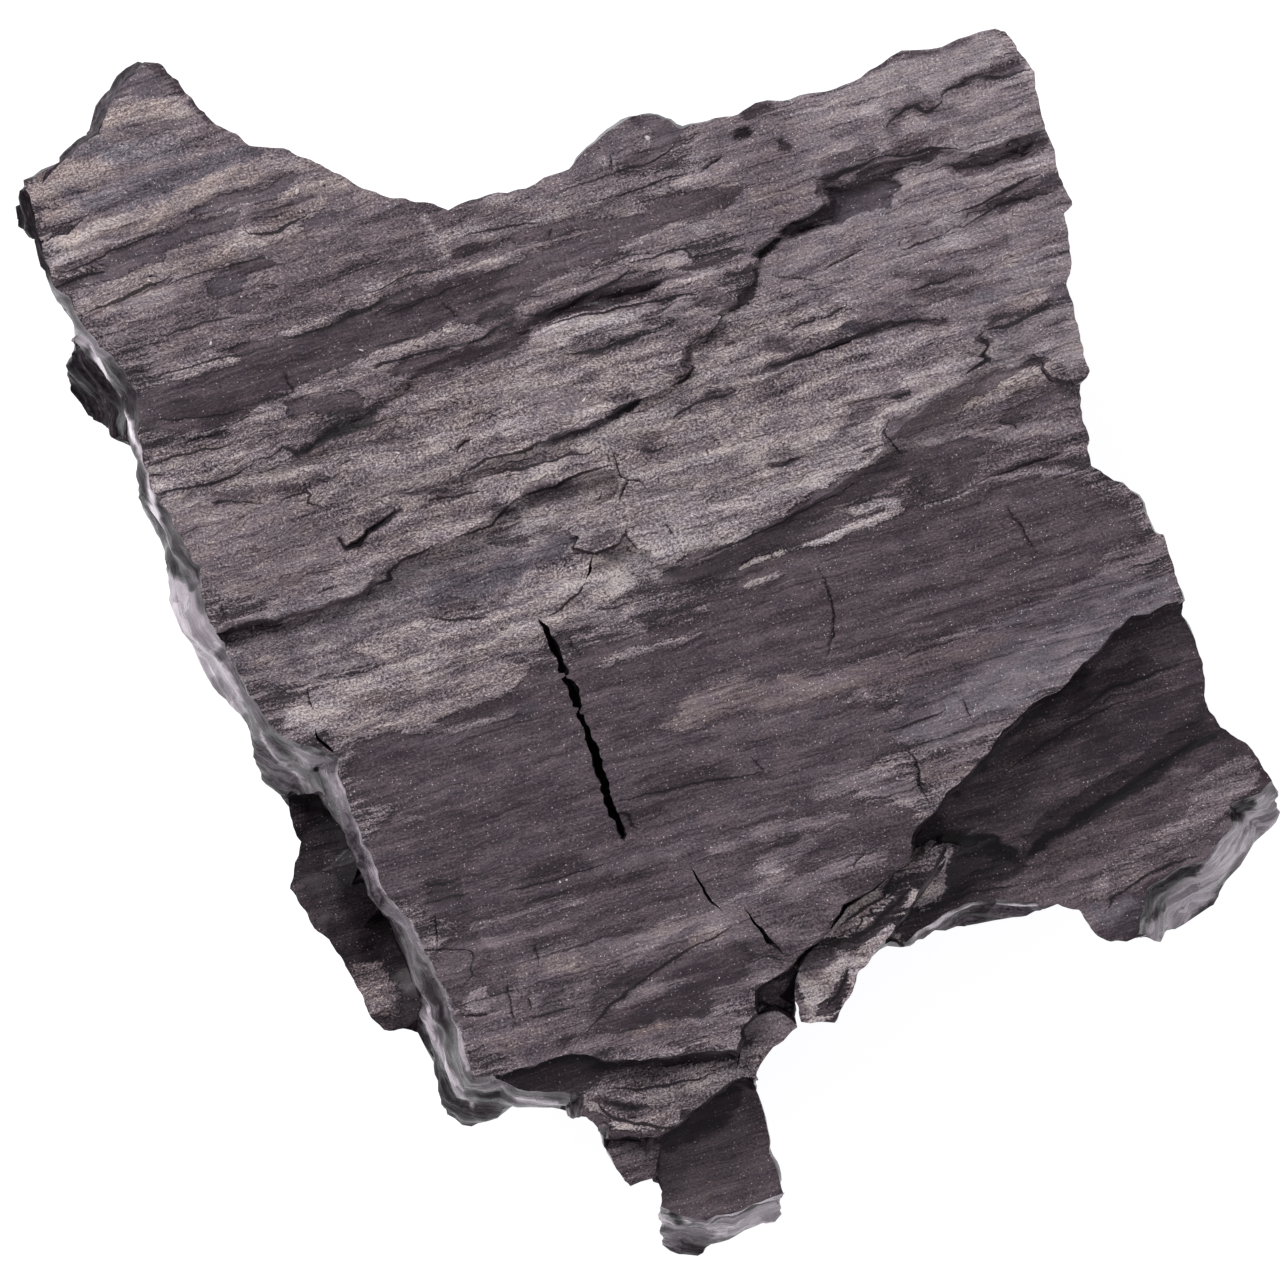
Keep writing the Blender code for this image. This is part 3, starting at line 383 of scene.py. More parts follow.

# %% [markdown]
# Where a thin flake has come off, its edge stays behind as a lip: a dark line of painted shade
# that runs with the grain, with a painted shadow on its low side. There are many, and they are
# far too low to need points of their own. The skin only keeps the distance from them, and the
# shader draws them.

# %% Lips of flakes on the top plates
LIPS = [
    # half width, points from end to end
    (0.05, [(-29.6, 17.6), (-28.0, 18.2), (-26.8, 18.5)]),
    (0.03, [(-29.5, 18.3), (-28.0, 18.7), (-26.6, 19.4), (-25.0, 20.1), (-23.5, 20.6)]),
    (0.06, [(-28.0, 16.3), (-26.5, 16.8), (-25.2, 17.6), (-23.8, 18.1)]),
    (0.03, [(-23.9, 17.7), (-22.4, 18.3), (-21.0, 18.6), (-19.2, 19.0)]),
    (0.05, [(-19.9, 20.3), (-18.6, 20.3), (-17.8, 20.8), (-16.9, 21.3)]),
    (0.03, [(-24.4, 15.1), (-23.0, 15.5), (-21.6, 16.0), (-20.3, 16.2)]),
    (0.03, [(-24.9, 13.1), (-23.4, 13.5), (-21.8, 14.0), (-20.4, 14.2), (-18.6, 14.7)]),
    (0.05, [(-18.3, 14.9), (-17.0, 15.3), (-15.6, 15.7), (-14.0, 16.5), (-12.0, 17.3)]),
    (0.04, [(-25.0, 8.7), (-23.6, 9.1), (-22.0, 9.5), (-20.6, 9.8)]),
    (0.05, [(-24.6, 7.3), (-22.8, 7.6), (-21.0, 8.0), (-20.2, 8.3), (-19.4, 8.8)]),
    (0.06, [(-19.5, 9.0), (-18.6, 9.2), (-18.2, 9.6), (-17.2, 9.3), (-15.7, 10.3), (-14.0, 10.8),
            (-12.9, 11.0)]),
    (0.04, [(-18.4, 6.9), (-17.0, 7.5), (-16.7, 7.0), (-16.0, 6.5)]),
    (0.03, [(-22.0, 6.8), (-20.5, 7.0), (-19.2, 6.8)]),
    (0.03, [(-14.0, 17.3), (-12.0, 18.2), (-10.8, 18.4), (-9.8, 18.6)]),
    (0.03, [(-13.8, 15.9), (-12.0, 16.6), (-10.4, 17.3), (-9.0, 17.8)]),
    (0.05, [(-13.9, 13.4), (-12.9, 13.9), (-11.0, 14.3), (-9.5, 14.7), (-8.2, 14.9)]),
    (0.05, [(-8.5, 15.0), (-7.7, 15.5), (-7.0, 15.8), (-6.2, 15.7)]),
    (0.05, [(-6.2, 16.2), (-4.8, 16.3), (-3.6, 16.8), (-2.4, 17.5), (-1.2, 18.2), (-0.8, 18.6)]),
    (0.04, [(-0.9, 18.8), (0.3, 19.1), (1.8, 19.6), (2.6, 19.2), (3.9, 19.5), (5.2, 19.8)]),
    (0.04, [(-5.0, 15.7), (-3.0, 16.2), (-1.0, 16.7), (1.0, 17.0), (2.5, 17.2)]),
    (0.06, [(-4.2, 14.2), (-2.4, 14.4), (-1.4, 14.8), (0.0, 15.2)]),
    (0.04, [(2.0, 14.4), (2.3, 14.9), (3.4, 15.3), (3.7, 16.2)]),
    (0.05, [(1.0, 12.6), (1.9, 13.0), (2.2, 13.8)]),
    (0.03, [(-4.4, 22.4), (-2.8, 22.9), (-0.6, 23.6), (0.5, 24.0), (1.5, 24.9)]),
    (0.03, [(-2.6, 21.9), (-0.9, 22.3), (0.8, 23.0), (2.4, 23.4)]),
    (0.03, [(-9.0, 20.2), (-7.0, 20.6), (-5.2, 20.9)]),
    (0.07, [(8.5, 22.9), (9.4, 23.1), (9.8, 23.4), (11.0, 23.8), (11.8, 24.2)]),
    (0.04, [(7.2, 15.3), (7.7, 15.8), (8.6, 16.0)]),
    (0.05, [(6.3, 13.7), (8.0, 14.3), (9.8, 15.0), (12.0, 15.9), (15.0, 16.0)]),
    (0.05, [(15.9, 13.2), (16.9, 13.9), (17.1, 14.4), (16.6, 15.2)]),
    (0.05, [(8.9, 16.1), (9.8, 16.6)]),
    (0.05, [(15.0, 27.4), (16.0, 27.8), (16.3, 28.1), (17.6, 28.1), (19.2, 28.5)]),
    (0.05, [(12.0, 25.6), (12.6, 26.4), (13.4, 26.6), (13.9, 26.3), (14.8, 27.0)]),
    (0.05, [(12.0, 24.2), (13.3, 24.3), (14.6, 24.6), (15.9, 24.5)]),
    (0.04, [(15.1, 21.2), (16.2, 21.6), (17.4, 22.2), (18.7, 22.9), (19.8, 23.4)]),
    (0.04, [(15.5, 20.5), (16.8, 21.4), (18.6, 22.0), (20.4, 22.4)]),
    (0.03, [(12.8, 19.4), (13.6, 19.8), (15.0, 20.4)]),
    (0.03, [(13.0, 17.4), (14.4, 17.8), (16.0, 18.3)]),
    (0.06, [(16.8, 15.4), (18.6, 15.9), (20.2, 16.8)]),
    (0.05, [(12.0, 12.0), (12.6, 12.2), (13.3, 12.4)]),
    (0.04, [(17.9, 11.2), (18.3, 10.5)]),
    (0.04, [(-10.0, 8.0), (-8.3, 8.9), (-6.6, 9.3), (-5.4, 9.8), (-3.6, 10.4), (-2.0, 10.7)]),
    (0.035, [(-2.0, 11.0), (-1.2, 11.4), (-0.3, 11.9)]),
    (0.04, [(-8.6, 8.0), (-6.8, 8.5), (-5.6, 8.7), (-4.0, 9.2), (-2.2, 9.5)]),
    (0.04, [(-6.2, 7.2), (-4.6, 7.6), (-3.0, 8.4), (-1.6, 8.8)]),
    (0.03, [(-9.8, 5.0), (-8.4, 5.5), (-7.2, 6.4), (-6.2, 7.1)]),
    (0.035, [(-10.9, 7.0), (-9.6, 7.2), (-8.2, 7.4)]),
    (0.04, [(-14.0, 2.5), (-13.0, 3.0), (-12.0, 4.0), (-10.4, 4.8)]),
    (0.045, [(-4.0, 5.5), (-3.5, 4.6), (-2.6, 4.3), (-1.6, 4.7), (-1.0, 5.2), (-0.4, 4.4)]),
    (0.03, [(-3.0, 2.9), (-3.6, 2.2), (-4.4, 1.5), (-5.0, 1.1)]),
    (0.04, [(-10.8, 1.1), (-9.6, 1.0), (-8.0, 1.2)]),
    (0.04, [(-0.5, 9.4), (0.4, 9.5), (1.1, 9.7)]),
    (0.05, [(1.4, 11.1), (2.6, 11.9), (4.2, 12.3)]),
    (0.04, [(6.2, 8.6), (6.8, 8.7), (7.2, 9.0), (7.8, 9.0)]),
    (0.03, [(2.4, 3.9), (3.6, 4.5), (5.0, 5.0), (6.6, 5.8), (8.4, 6.8), (9.8, 7.4)]),
    (0.04, [(-11.4, -13.3), (-10.1, -13.0), (-8.6, -12.6)]),
    (0.03, [(-6.0, -19.0), (-4.2, -18.5), (-3.4, -18.4)]),
    (0.03, [(-7.0, -12.6), (-4.4, -11.9), (-2.0, -11.2)]),
    (0.03, [(5.0, -16.2), (6.0, -15.8), (7.0, -15.9)]),
    (0.03, [(13.6, 7.0), (13.7, 7.5), (14.4, 7.9)]),
    (0.05, [(-3.3, -19.9), (-1.7, -18.3), (0.2, -16.8), (1.9, -15.6), (4.2, -14.4)]),
    (0.03, [(-12.0, -15.6), (-10.4, -15.4), (-9.0, -15.6), (-8.6, -16.8), (-9.4, -17.4)]),
    (0.03, [(-2.0, -8.2), (0.6, -7.6), (3.4, -6.9), (6.2, -6.6)]),
    (0.03, [(-24.6, 11.0), (-22.0, 11.2), (-19.6, 11.6)]),
    (0.03, [(12.0, -4.6), (13.2, -4.2), (14.8, -3.6)]),
]
print("lips on the top plates:", len(LIPS))

# %% [markdown]
# The steps have few lips, but long ones: the folds of the east steps, the edges of the flap
# and the broken edge of the front step.

# %% Lips of flakes on the lower steps
STEP_LIPS = [
    # half width, points from end to end
    # the folds of the east steps
    (0.09, [(19.0, -11.2), (20.4, -9.9), (22.2, -8.6), (24.2, -7.4), (26.0, -6.2), (27.6, -5.1),
            (29.2, -4.4)]),
    (0.07, [(18.9, -11.4), (18.5, -10.7), (17.6, -10.1), (16.4, -9.8), (15.2, -10.1), (14.2, -10.9)]),
    (0.04, [(20.6, -4.1), (21.8, -3.6), (23.2, -2.5), (24.8, -1.9), (26.8, -1.2)]),
    (0.03, [(18.0, -6.8), (20.0, -5.2), (22.4, -3.8), (24.6, -2.9)]),
    (0.03, [(14.6, -13.6), (16.0, -12.8), (17.6, -12.4), (19.0, -12.3)]),
    (0.04, [(23.0, -13.8), (24.4, -12.4), (26.0, -11.4), (27.8, -10.9)]),
    # the flap
    (0.06, [(13.4, -12.4), (11.6, -14.2), (10.2, -15.2), (8.6, -15.6)]),
    (0.05, [(10.2, -16.4), (9.8, -17.4), (9.0, -18.6)]),
    (0.04, [(12.8, -11.6), (12.0, -13.0), (10.8, -13.8), (9.6, -14.8)]),
    # the lump and the front step
    (0.06, [(5.0, -18.6), (5.8, -18.2), (6.6, -18.6), (7.4, -18.4)]),
    (0.06, [(-2.6, -23.1), (-1.7, -24.0), (-0.2, -24.3), (1.8, -24.6)]),
    (0.04, [(-2.0, -22.4), (-0.4, -22.6), (1.6, -22.2), (3.4, -21.8)]),
    (0.04, [(-2.4, -24.8), (-1.2, -25.2), (0.4, -25.2)]),
]
print("lips on the lower steps:", len(STEP_LIPS))

# %% [markdown]
# One long split runs down the middle. It is open in the solid, and its banks are torn later.
# A few grains of a pale mineral sit in the film.

# %% Long split and grains
LONG_SPLIT = [(-5.4, 1.1), (-4.7, 0.0), (-3.9, -2.0), (-2.8, -5.0), (-2.2, -7.0), (-1.1, -10.0)]
GRAINS = [
    # x, y, radius
    (0.1, 25.05, 0.13), (-3.0, 12.0, 0.10), (-21.7, 14.85, 0.10), (21.7, -6.6, 0.11),
    (-4.3, -12.05, 0.07), (-4.0, -12.0, 0.06), (16.5, -3.5, 0.07), (-17.5, 22.4, 0.12),
    (-14.3, 14.4, 0.08), (-24.7, 18.0, 0.07), (3.65, -16.9, 0.07), (-12.6, 9.3, 0.09),
    (22.8, -8.0, 0.06), (17.5, -9.6, 0.08), (-0.1, 19.9, 0.06),
]
print("grains:", len(GRAINS))

# %% [markdown]
# Lines of points are all that this script needs to place a crack, a lip or a stroke of
# colour, so one helper measures how far everything is from such a line.

# %% Distance from a line
def from_line(x, y, line):
    """Distance of points from a line of points, the share of its length passed at the nearest
    place, and the side of it that they are on."""
    reach = [math.dist(a, b) for a, b in zip(line, line[1:])]
    nearest, share, side = np.full(len(x), np.inf), np.zeros(len(x)), np.ones(len(x))
    passed = 0.0
    for (ax, ay), (bx, by), length in zip(line, line[1:], reach):
        dx, dy = bx - ax, by - ay
        step = np.clip(((x - ax) * dx + (y - ay) * dy) / length ** 2, 0.0, 1.0)
        away = np.hypot(x - ax - step * dx, y - ay - step * dy)
        closer = away < nearest
        nearest = np.where(closer, away, nearest)
        share = np.where(closer, (passed + step * length) / sum(reach), share)
        side = np.where(closer, np.sign((x - ax) * dy - (y - ay) * dx), side)
        passed += length
    return nearest, share, side


from_split = from_line(np.zeros(1), np.zeros(1), LONG_SPLIT)[0]
print("from the mark to the long split, mm:", round(float(from_split[0]), 2))

# %% [markdown]
# Hairlines, the long split and the grains are much finer than the skin. Making all of it fine
# enough would take millions of points, so only the edges beside them are cut once more.

# %% A finer skin beside cracks and grains
TOP_FACES = 16.2
CRACK_SKIN, CRACK_ZONE = 0.11, 0.12
SPLIT_SKIN, SPLIT_ZONE = 0.15, 0.26
GRAIN_ZONE = 1.6


def longer_than_crack(corners, edges, *_):
    """Edges beside a crack or a grain that are too long to show it."""
    offset = corners[edges[:, 1]] - corners[edges[:, 0]]
    middle = corners[edges].mean(axis=1)
    length = np.linalg.norm(offset, axis=1)
    able = np.flatnonzero((length > CRACK_SKIN) & (middle[:, 2] > TOP_FACES))
    x, y, length = middle[able, 0] - MARK[0], middle[able, 1] - MARK[1], length[able]
    beside = (from_line(x, y, LONG_SPLIT)[0] < SPLIT_ZONE + 0.5 * length) & (length > SPLIT_SKIN)
    for *_, line in HAIRLINES:
        beside |= from_line(x, y, line)[0] < CRACK_ZONE + 0.5 * length
    for gx, gy, radius in GRAINS:
        beside |= np.hypot(x - gx, y - gy) < GRAIN_ZONE * radius + 0.5 * length
    cut = np.zeros(len(edges), dtype=bool)
    cut[able[beside]] = True
    return cut


corners, faces, kinds = refined(corners, faces, kinds, longer_than_crack)
print("with hairlines:", len(corners), "points,", len(faces), "triangles")

# %% [markdown]
# ## Where the stone is pale and where it is dark
#
# The tone of a weathered face is set by its film: thick pale crust where the face is rough,
# and hardly any where a thin flake has come off and left smooth dark stone. A painted image
# could hold this too, but strokes in a table stay sharp and are easy to change.
#
# Each row below is one stroke: how pale it is (0 black to 1 near-white), how rough (0 smooth
# to 1 grainy), its tinge (-1 slate blue to 1 tan), its half width and the line that it
# follows. Later strokes lie over earlier ones. The first table covers whole areas.

# %% Areas of the top plates
AREAS = [
    # tone, roughness, tinge, half width, points from end to end
    (0.67, 0.70, 0.05, 2.0, [(10.0, 13.4), (14.0, 14.4), (17.0, 14.8), (20.6, 15.6)]),
    (0.60, 0.90, 0.10, 1.6, [(-6.0, 6.6), (-2.0, 5.6), (1.5, 5.6)]),
    (0.61, 0.40, 0.00, 3.0, [(9.0, 27.0), (14.0, 28.0), (18.0, 28.6)]),
    (0.49, 0.60, 0.15, 7.0, [(-27.0, 24.0), (-20.0, 20.0), (-12.0, 19.0), (-4.0, 22.0)]),
    (0.60, 0.42, 0.00, 6.0, [(5.0, 24.0), (12.0, 22.0), (17.0, 21.0), (18.0, 27.0)]),
    (0.55, 1.00, 0.28, 4.4, [(-21.0, 6.0), (-14.0, 7.6), (-8.0, 9.0)]),
    (0.65, 1.00, 0.24, 4.4, [(-7.0, 9.0), (-4.0, 10.0), (3.0, 11.0), (9.0, 15.0)]),
    (0.65, 0.95, 0.24, 2.6, [(0.0, 7.0), (5.0, 8.5), (10.0, 11.5)]),
    (0.52, 0.60, 0.20, 2.3, [(-23.5, 5.5), (-20.0, 4.5), (-16.0, 5.0)]),
    (0.47, 0.75, -0.10, 1.9, [(-20.5, -0.9), (-15.0, 0.7), (-9.0, 2.2), (-6.0, 3.6)]),
    (0.41, 0.65, 0.10, 2.4, [(10.0, 9.0), (15.0, 10.8), (21.5, 11.5)]),
    (0.32, 0.25, 0.00, 3.6, [(-13.0, -6.5), (-6.0, -5.5), (2.0, -3.0), (9.0, -1.5)]),
    (0.33, 0.25, 0.05, 3.6, [(4.5, 0.8), (11.0, 2.6), (17.0, 4.6), (23.0, 5.2)]),
    (0.35, 0.25, -0.05, 3.2, [(-13.0, -11.0), (-5.0, -10.0), (3.0, -7.5), (11.0, -4.5)]),
    (0.28, 0.35, 0.00, 3.0, [(-10.0, -17.0), (-2.0, -14.5), (5.0, -12.5), (12.0, -9.5)]),
    (0.39, 0.40, -0.02, 2.2, [(-8.0, -19.5), (0.0, -18.0), (6.0, -14.5), (9.0, -12.5)]),
]
print("strokes for areas:", len(AREAS))

# %% [markdown]
# Smooth dark bands, where long flakes have lifted off along the grain. The longest one crosses
# the whole upper plate. The darkest rows are painted shade: the deep sides of flakes, and their
# shadows.

# %% Dark bands
DARK_BANDS = [
    # the back corner
    (0.38, 0.05, -0.10, 0.75, [(-26.1, 28.6), (-27.0, 27.5), (-27.7, 26.3), (-28.0, 25.4)]),
    (0.43, 0.20, -0.15, 0.9, [(-25.9, 27.9), (-25.0, 27.8), (-24.2, 27.5)]),
    (0.25, 0.10, 0.00, 0.2, [(-24.9, 28.9), (-23.9, 28.1), (-23.1, 27.2)]),
    (0.25, 0.10, 0.00, 0.2, [(-22.6, 26.8), (-21.7, 25.8)]),
    (0.43, 0.55, -0.55, 0.8, [(-29.6, 22.4), (-27.0, 22.0), (-24.5, 22.5), (-22.3, 23.3), (-19.0, 24.2)]),
    (0.46, 0.70, -0.45, 0.6, [(-28.3, 24.3), (-25.5, 24.4), (-23.0, 24.9)]),
    (0.39, 0.25, -0.15, 0.32, [(-22.6, 21.3), (-20.6, 22.0), (-18.8, 22.2), (-17.4, 23.4)]),
    (0.31, 0.20, -0.15, 0.62, [(-29.6, 17.8), (-27.6, 18.4), (-25.6, 19.1), (-23.8, 19.9)]),
    (0.36, 0.25, -0.20, 0.50, [(-23.9, 20.0), (-22.3, 20.6), (-20.4, 21.2)]),
    (0.30, 0.20, 0.00, 0.14, [(-19.8, 21.2), (-18.0, 21.6), (-16.4, 22.2)]),
    (0.28, 0.20, 0.10, 0.13, [(-27.8, 16.2), (-26.2, 16.9), (-25.0, 17.5), (-23.7, 18.1)]),
    (0.36, 0.20, -0.40, 0.5, [(-21.8, 17.6), (-20.1, 18.2)]),
    (0.32, 0.15, 0.00, 0.3, [(-20.7, 18.5), (-18.7, 18.7)]),
    (0.36, 0.20, 0.00, 0.25, [(-21.0, 16.6), (-19.4, 16.9)]),
    (0.40, 0.30, -0.20, 0.5, [(-17.6, 20.6), (-15.4, 21.0)]),
    (0.43, 0.55, 0.00, 0.7, [(-15.3, 20.9), (-12.5, 21.3), (-9.5, 21.1)]),
    (0.32, 0.20, -0.10, 0.25, [(-9.6, 19.2), (-9.0, 19.5), (-7.9, 19.8)]),
    (0.40, 0.35, 0.00, 0.3, [(-23.2, 13.6), (-20.5, 14.3), (-18.2, 15.1)]),
    # the long dark band
    (0.33, 0.20, 0.00, 1.25, [(-25.4, 11.5), (-22.5, 11.8), (-20.3, 12.6), (-17.5, 13.9), (-14.5, 15.2),
                              (-12.0, 16.0), (-9.5, 16.8), (-6.0, 17.8)]),
    (0.35, 0.20, 0.00, 0.75, [(-7.5, 17.4), (-4.2, 19.0), (-2.3, 19.8), (0.0, 20.6), (1.5, 21.4),
                              (3.1, 22.0), (4.5, 22.5)]),
    (0.40, 0.30, 0.00, 0.35, [(-6.5, 20.2), (-4.0, 20.7), (-1.0, 20.9)]),
    (0.36, 0.20, 0.00, 0.5, [(-18.2, 11.5), (-16.4, 11.8), (-14.2, 11.8)]),
    # the next two rows: painted shadow below the lip of the plate above
    (0.20, 0.50, 0.00, 0.20, [(-19.6, 9.0), (-18.9, 9.2), (-18.2, 9.4)]),
    (0.18, 0.50, 0.00, 0.26, [(-17.2, 9.4), (-16.0, 10.1), (-15.0, 10.6), (-14.0, 10.9)]),
    (0.30, 0.60, 0.00, 0.3, [(-14.2, 10.9), (-13.6, 11.6), (-13.0, 12.0)]),
    (0.27, 0.15, 0.00, 0.48, [(-12.6, 13.4), (-10.8, 13.8), (-9.3, 14.0), (-7.8, 14.3), (-6.8, 15.0),
                              (-5.7, 15.6)]),
    (0.24, 0.20, 0.00, 0.13, [(-8.5, 15.0), (-7.1, 15.7), (-5.4, 16.0), (-4.0, 16.8), (-3.1, 17.1),
                              (-1.6, 17.8), (0.8, 18.0), (2.4, 18.2)]),
    (0.26, 0.15, 0.00, 0.38, [(-5.2, 16.0), (-3.1, 16.6), (-1.3, 17.2), (0.6, 17.8)]),
    (0.26, 0.40, 0.00, 0.12, [(-5.2, 14.0), (-3.4, 14.4), (-1.6, 14.6), (-0.2, 15.3)]),
    # the back edge
    (0.42, 0.50, -0.10, 1.1, [(-4.6, 23.6), (-2.2, 24.7), (0.2, 25.7), (1.5, 25.4)]),
    (0.36, 0.15, -0.15, 0.5, [(-0.5, 26.1), (0.5, 26.0), (1.4, 25.5)]),
    (0.32, 0.20, 0.00, 0.4, [(0.4, 24.7), (1.6, 25.2)]),
    (0.40, 0.30, 0.00, 0.3, [(-1.3, 23.9), (0.8, 24.2)]),
    (0.18, 0.10, 0.00, 0.35, [(4.5, 25.2), (5.2, 25.4)]),
    (0.34, 0.05, 0.00, 0.4, [(4.9, 26.3), (6.1, 26.6)]),
    (0.26, 0.20, 0.00, 0.28, [(6.6, 24.5), (7.0, 24.7)]),
    (0.30, 0.20, 0.00, 0.13, [(10.7, 28.2), (12.7, 29.2), (14.7, 29.4), (16.4, 30.1)]),
    (0.40, 0.20, 0.00, 0.2, [(17.9, 29.4), (18.4, 29.6)]),
    # the east side of the upper plate
    (0.33, 0.04, -0.45, 0.85, [(8.9, 21.4), (10.3, 22.0), (12.1, 22.5)]),
    (0.37, 0.20, 0.00, 0.38, [(10.4, 23.1), (12.0, 23.7), (13.8, 24.2), (14.6, 24.4)]),
    (0.22, 0.10, 0.00, 0.3, [(6.9, 20.3), (8.0, 20.8), (8.6, 21.5)]),
    (0.15, 0.20, 0.00, 0.2, [(5.5, 18.9), (5.8, 19.5), (6.6, 20.0)]),
    (0.28, 0.20, 0.00, 0.12, [(8.6, 22.9), (9.7, 23.2), (11.0, 23.7)]),
    (0.32, 0.12, 0.00, 0.45, [(14.9, 23.5), (16.3, 23.6), (17.8, 24.1), (19.8, 24.9)]),
    (0.36, 0.15, -0.25, 0.35, [(17.0, 21.4), (18.7, 22.2), (20.0, 22.9), (21.0, 23.2)]),
    (0.36, 0.20, 0.00, 0.15, [(15.4, 20.9), (16.6, 21.5), (18.0, 22.3), (19.6, 23.1)]),
    (0.34, 0.20, 0.00, 0.14, [(14.7, 27.2), (16.0, 27.9), (16.8, 28.4)]),
    (0.40, 0.20, -0.20, 0.3, [(17.3, 28.2), (18.8, 28.6)]),
    (0.36, 0.20, 0.00, 0.12, [(17.6, 27.3), (19.0, 27.7)]),
    (0.44, 0.40, 0.00, 0.4, [(12.0, 25.1), (12.4, 26.0), (13.2, 26.6), (15.4, 26.3)]),
    (0.45, 0.50, 0.30, 0.35, [(12.2, 24.6), (14.0, 25.0)]),
    (0.30, 0.30, 0.00, 0.25, [(5.1, 18.7), (5.1, 17.3), (4.3, 16.5)]),
    (0.36, 0.40, 0.00, 0.4, [(2.6, 17.2), (4.2, 16.8)]),
    (0.42, 0.40, 0.00, 0.35, [(12.7, 18.2), (14.8, 18.1), (17.0, 18.6)]),
    (0.42, 0.50, 0.10, 0.3, [(13.0, 17.2), (15.2, 17.5)]),
    (0.40, 0.45, 0.00, 0.22, [(13.4, 19.0), (15.6, 19.3), (18.0, 20.1)]),
    (0.40, 0.45, 0.00, 0.18, [(14.0, 16.6), (16.4, 17.6), (18.4, 18.0)]),
    (0.43, 0.45, 0.00, 0.2, [(6.0, 17.6), (8.6, 18.8), (11.0, 19.9)]),
    (0.43, 0.45, 0.00, 0.16, [(18.4, 26.0), (20.0, 26.6)]),
    (0.43, 0.45, 0.00, 0.2, [(9.0, 25.0), (11.6, 25.9)]),
    (0.36, 0.25, 0.00, 0.2, [(16.9, 15.7), (18.8, 16.4), (20.2, 16.9)]),
    (0.42, 0.20, -0.10, 0.5, [(20.3, 17.2), (21.2, 17.6)]),
    (0.44, 0.30, -0.60, 0.45, [(9.9, 15.7), (11.4, 15.4)]),
    (0.38, 0.40, 0.00, 0.45, [(6.0, 14.6), (7.2, 15.0)]),
    (0.25, 0.30, 0.00, 0.13, [(6.2, 13.7), (8.2, 14.3), (10.0, 14.9), (12.9, 15.8), (15.0, 16.0)]),
    # painted shadow below the raised edge of the flake
    (0.22, 0.30, 0.00, 0.13, [(16.8, 15.4), (17.1, 14.5), (16.8, 13.7), (15.8, 13.1)]),
    # the centre
    (0.26, 0.30, 0.00, 0.18, [(-2.0, 11.0), (-1.2, 11.5), (-0.3, 11.9)]),
    (0.30, 0.60, 0.00, 0.25, [(-4.9, 10.0), (-3.1, 10.5), (-1.9, 10.9)]),
    (0.25, 0.40, 0.00, 0.13, [(0.9, 12.7), (1.8, 13.2), (2.0, 13.9), (2.2, 14.6)]),
    (0.34, 0.60, 0.00, 0.3, [(2.9, 12.1), (4.3, 12.3)]),
    (0.30, 0.40, 0.00, 0.12, [(6.1, 8.7), (7.0, 8.8), (8.0, 9.1)]),
    (0.24, 0.40, 0.00, 0.11, [(-8.4, 8.3), (-6.2, 8.7), (-5.1, 9.1), (-3.3, 9.4)]),
    (0.24, 0.40, 0.00, 0.10, [(-12.2, 7.4), (-10.0, 7.4)]),
    (0.38, 0.60, 0.20, 0.35, [(-21.8, 6.9), (-19.7, 7.5), (-17.6, 7.8)]),
    (0.44, 0.50, 0.00, 0.5, [(-6.0, 7.2), (-3.5, 7.6)]),
    (0.12, 0.20, 0.00, 0.14, [(-15.4, 5.1), (-15.0, 4.6), (-14.4, 4.8), (-13.9, 5.4), (-13.0, 6.0),
                              (-12.2, 6.5)]),
    # the next two rows: painted shadow below the middle lip
    (0.16, 0.40, 0.00, 0.28, [(-21.2, 0.4), (-20.0, 0.7), (-18.6, 0.9)]),
    (0.20, 0.30, 0.00, 0.12, [(-18.6, 1.0), (-16.5, 1.4), (-14.6, 2.1), (-13.6, 2.9)]),
    (0.40, 0.40, -0.60, 0.5, [(-5.6, 4.2), (-3.9, 4.9)]),
    (0.43, 0.45, -0.60, 0.65, [(-11.0, 2.2), (-8.0, 3.0), (-6.0, 3.6)]),
    # the dark brown band below the centre
    (0.34, 0.25, 0.10, 0.5, [(1.8, 4.1), (4.0, 4.7), (6.2, 5.6), (8.2, 6.6)]),
    (0.33, 0.20, 0.05, 0.75, [(8.0, 6.6), (10.0, 7.6), (12.0, 8.4), (14.2, 9.2), (17.0, 9.7)]),
    (0.37, 0.30, 0.15, 0.6, [(10.7, 9.2), (13.8, 11.0), (16.3, 12.3), (17.8, 13.1), (19.7, 13.9)]),
    (0.33, 0.25, -0.15, 0.35, [(17.8, 11.0), (20.0, 12.1), (21.7, 12.6)]),
    (0.34, 0.20, -0.05, 0.35, [(13.6, 7.4), (14.3, 8.1), (16.4, 8.7)]),
    (0.22, 0.20, 0.00, 0.08, [(16.3, 7.7), (17.8, 8.3), (19.3, 8.8), (20.9, 9.4)]),
    (0.36, 0.20, 0.00, 0.4, [(1.2, 3.2), (5.0, 3.9), (8.0, 4.1)]),
    # below the long split, and the front
    (0.34, 0.15, -0.25, 0.5, [(-12.0, -5.0), (-8.0, -4.2), (-5.0, -3.2)]),
    (0.33, 0.15, 0.05, 0.8, [(-3.0, -1.0), (1.0, -0.5), (5.0, 0.3)]),
    (0.33, 0.15, 0.00, 0.7, [(-13.0, -9.5), (-9.0, -8.5), (-5.0, -7.6)]),
    (0.28, 0.15, 0.00, 0.22, [(-1.3, -8.8), (1.5, -8.0), (3.9, -7.2), (6.2, -6.8)]),
    (0.35, 0.20, 0.00, 0.3, [(5.0, -6.4), (8.0, -5.9), (11.0, -5.1)]),
    (0.36, 0.20, -0.15, 0.45, [(-11.0, -13.6), (-8.0, -12.8), (-5.4, -12.3), (-1.6, -11.2), (1.4, -10.8)]),
